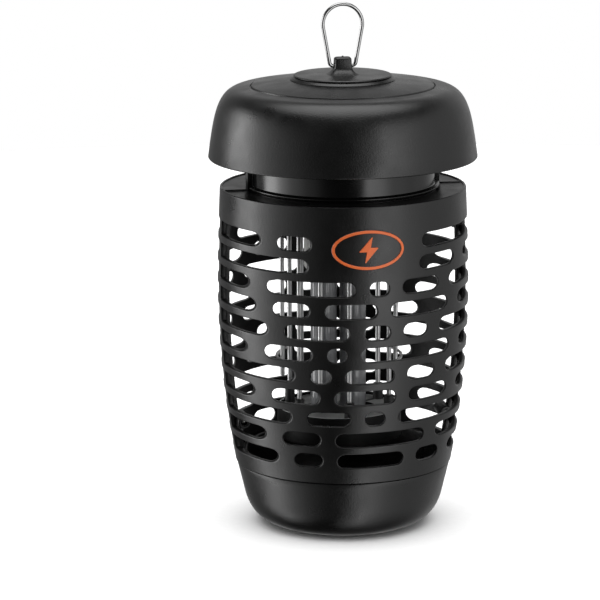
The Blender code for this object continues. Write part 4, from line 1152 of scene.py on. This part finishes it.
class Studio(Recipe):
    """The world's nodes: a strip of light left, a wide soft box right and one above."""

    def __init__(self):
        world = bpy.data.worlds.new("studio")
        world.use_nodes = True
        self.tree = world.node_tree
        bpy.context.scene.world = world

    def ramp(self, value, low, high, stops):
        """A curve through (value, level) stops, with levels up to LIGHT_PEAK."""
        made = self.node("ValToRGB", Fac=self.spread(value, 0.0, 1.0, (low, high)))
        made.color_ramp.interpolation = "EASE"
        points = made.color_ramp.elements
        while len(points) < len(stops):
            points.new(0.5)
        for point, (where, _) in zip(points, stops):
            point.position = (where - low) / (high - low)
        for point, (_, level) in zip(points, stops):
            point.color = grey(level / LIGHT_PEAK)
        return self.node("RGBToBW", Color=made.outputs["Color"]).outputs[0]

    def softbox(self, across, up, around, heights, lean):
        """Light from a band of directions: a level by azimuth times a share by elevation."""
        if lean:
            across = self.math("MULTIPLY_ADD", up, -lean, across)
        level = self.ramp(across, -180.0, 180.0, around)
        share = self.math("MULTIPLY", self.ramp(up, -90.0, 90.0, heights), LIGHT_PEAK)
        return self.math("MULTIPLY", level, share)

    def build(self):
        around = self.node("TexCoord").outputs["Generated"]
        front = self.node("VectorRotate", rotation_type="Z_AXIS", Vector=around,
                          Angle=-radians(CAMERA_AZIMUTH))
        axes = self.node("SeparateXYZ", Vector=front.outputs[0]).outputs
        across = self.math("ARCTAN2", axes[0], self.math("MULTIPLY", axes[1], -1.0))
        across = self.math("MULTIPLY", across, 180 / pi)
        up = self.math("MULTIPLY", self.math("ARCSINE", axes[2]), 180 / pi)
        level = self.ramp(up, -90.0, 90.0, TOP_LIGHT)
        for box in ((LEFT_STRIP, LEFT_HEIGHT, LEFT_LEAN), (RIGHT_BOX, RIGHT_HEIGHT, RIGHT_LEAN),
                    (FILL, FILL_HEIGHT, 0.0)):
            level = self.math("ADD", level, self.softbox(across, up, *box))
        lit = self.node("Background", Color=grey(1.0), Strength=self.math("MULTIPLY", level, LIGHT_PEAK))
        seen = self.node("Background", Color=grey(1.0), Strength=1.0)
        mix = self.node("MixShader", Fac=self.node("LightPath").outputs["Is Camera Ray"])
        self.feed(mix.inputs[1], lit.outputs[0])
        self.feed(mix.inputs[2], seen.outputs[0])
        self.feed(self.tree.nodes["World Output"].inputs["Surface"], mix.outputs[0])


def make_light(floor):
    """The studio, and a wash from above for the floor alone."""
    Studio().build()
    data = bpy.data.lights.new("floor_wash", "AREA")
    data.shape = "RECTANGLE"
    data.size = data.size_y = WASH_SIZE
    data.energy = WASH * pi * WASH_SIZE ** 2
    wash = bpy.data.objects.new("floor_wash", data)
    wash.location.z = WASH_HEIGHT
    wash.visible_camera = False
    bpy.context.scene.collection.objects.link(wash)
    group = bpy.data.collections.new("washed")
    group.objects.link(floor)
    wash.light_linking.receiver_collection = group


def make_camera():
    a, e = radians(CAMERA_AZIMUTH), radians(CAMERA_ELEVATION)
    back = Vector((sin(a) * cos(e), -cos(a) * cos(e), sin(e)))
    data = bpy.data.cameras.new("camera")
    data.sensor_width = 36.0
    data.lens = CAMERA_LENS
    data.clip_start = 0.1
    data.clip_end = 60.0
    camera = bpy.data.objects.new("camera", data)
    camera.location = Vector((0, 0, AXIS_POINT)) + back * CAMERA_DISTANCE
    target = Vector((cos(a), sin(a), 0)) * AIM[0] + Vector((0, 0, AIM[1]))
    look = (camera.location - target).to_track_quat("Z", "Y").to_matrix()
    roll = Matrix.Rotation(radians(CAMERA_ROLL), 3, "Z")
    camera.rotation_euler = (look @ roll).to_euler()
    bpy.context.scene.collection.objects.link(camera)
    bpy.context.scene.camera = camera
    bpy.context.scene.view_settings.view_transform = "Standard"


# ---- assembly

make_tray()
for half_name, half_turn in (("cage_front", 0.0), ("cage_rear", pi)):
    make_cage_half(half_name, half_turn)
    make_seam_ribs(half_name, half_turn)
make_shelf_posts()
make_shelf_ridges()
make_neck()
make_cap()
make_hanger()
make_wire()
make_rods()
make_tie_ring()
make_lower_plate()
make_upper_plate()
make_lamp()
make_gland()
make_screws()
make_badge()

# the frame's own nodes that still show take the same materials
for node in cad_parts.values():
    for slot in node.material_slots:
        base = slot.material.name.split(".")[0] if slot.material else ""
        slot.material = LOOK.get(base, INSULATOR)

make_light(make_stage())
make_camera()
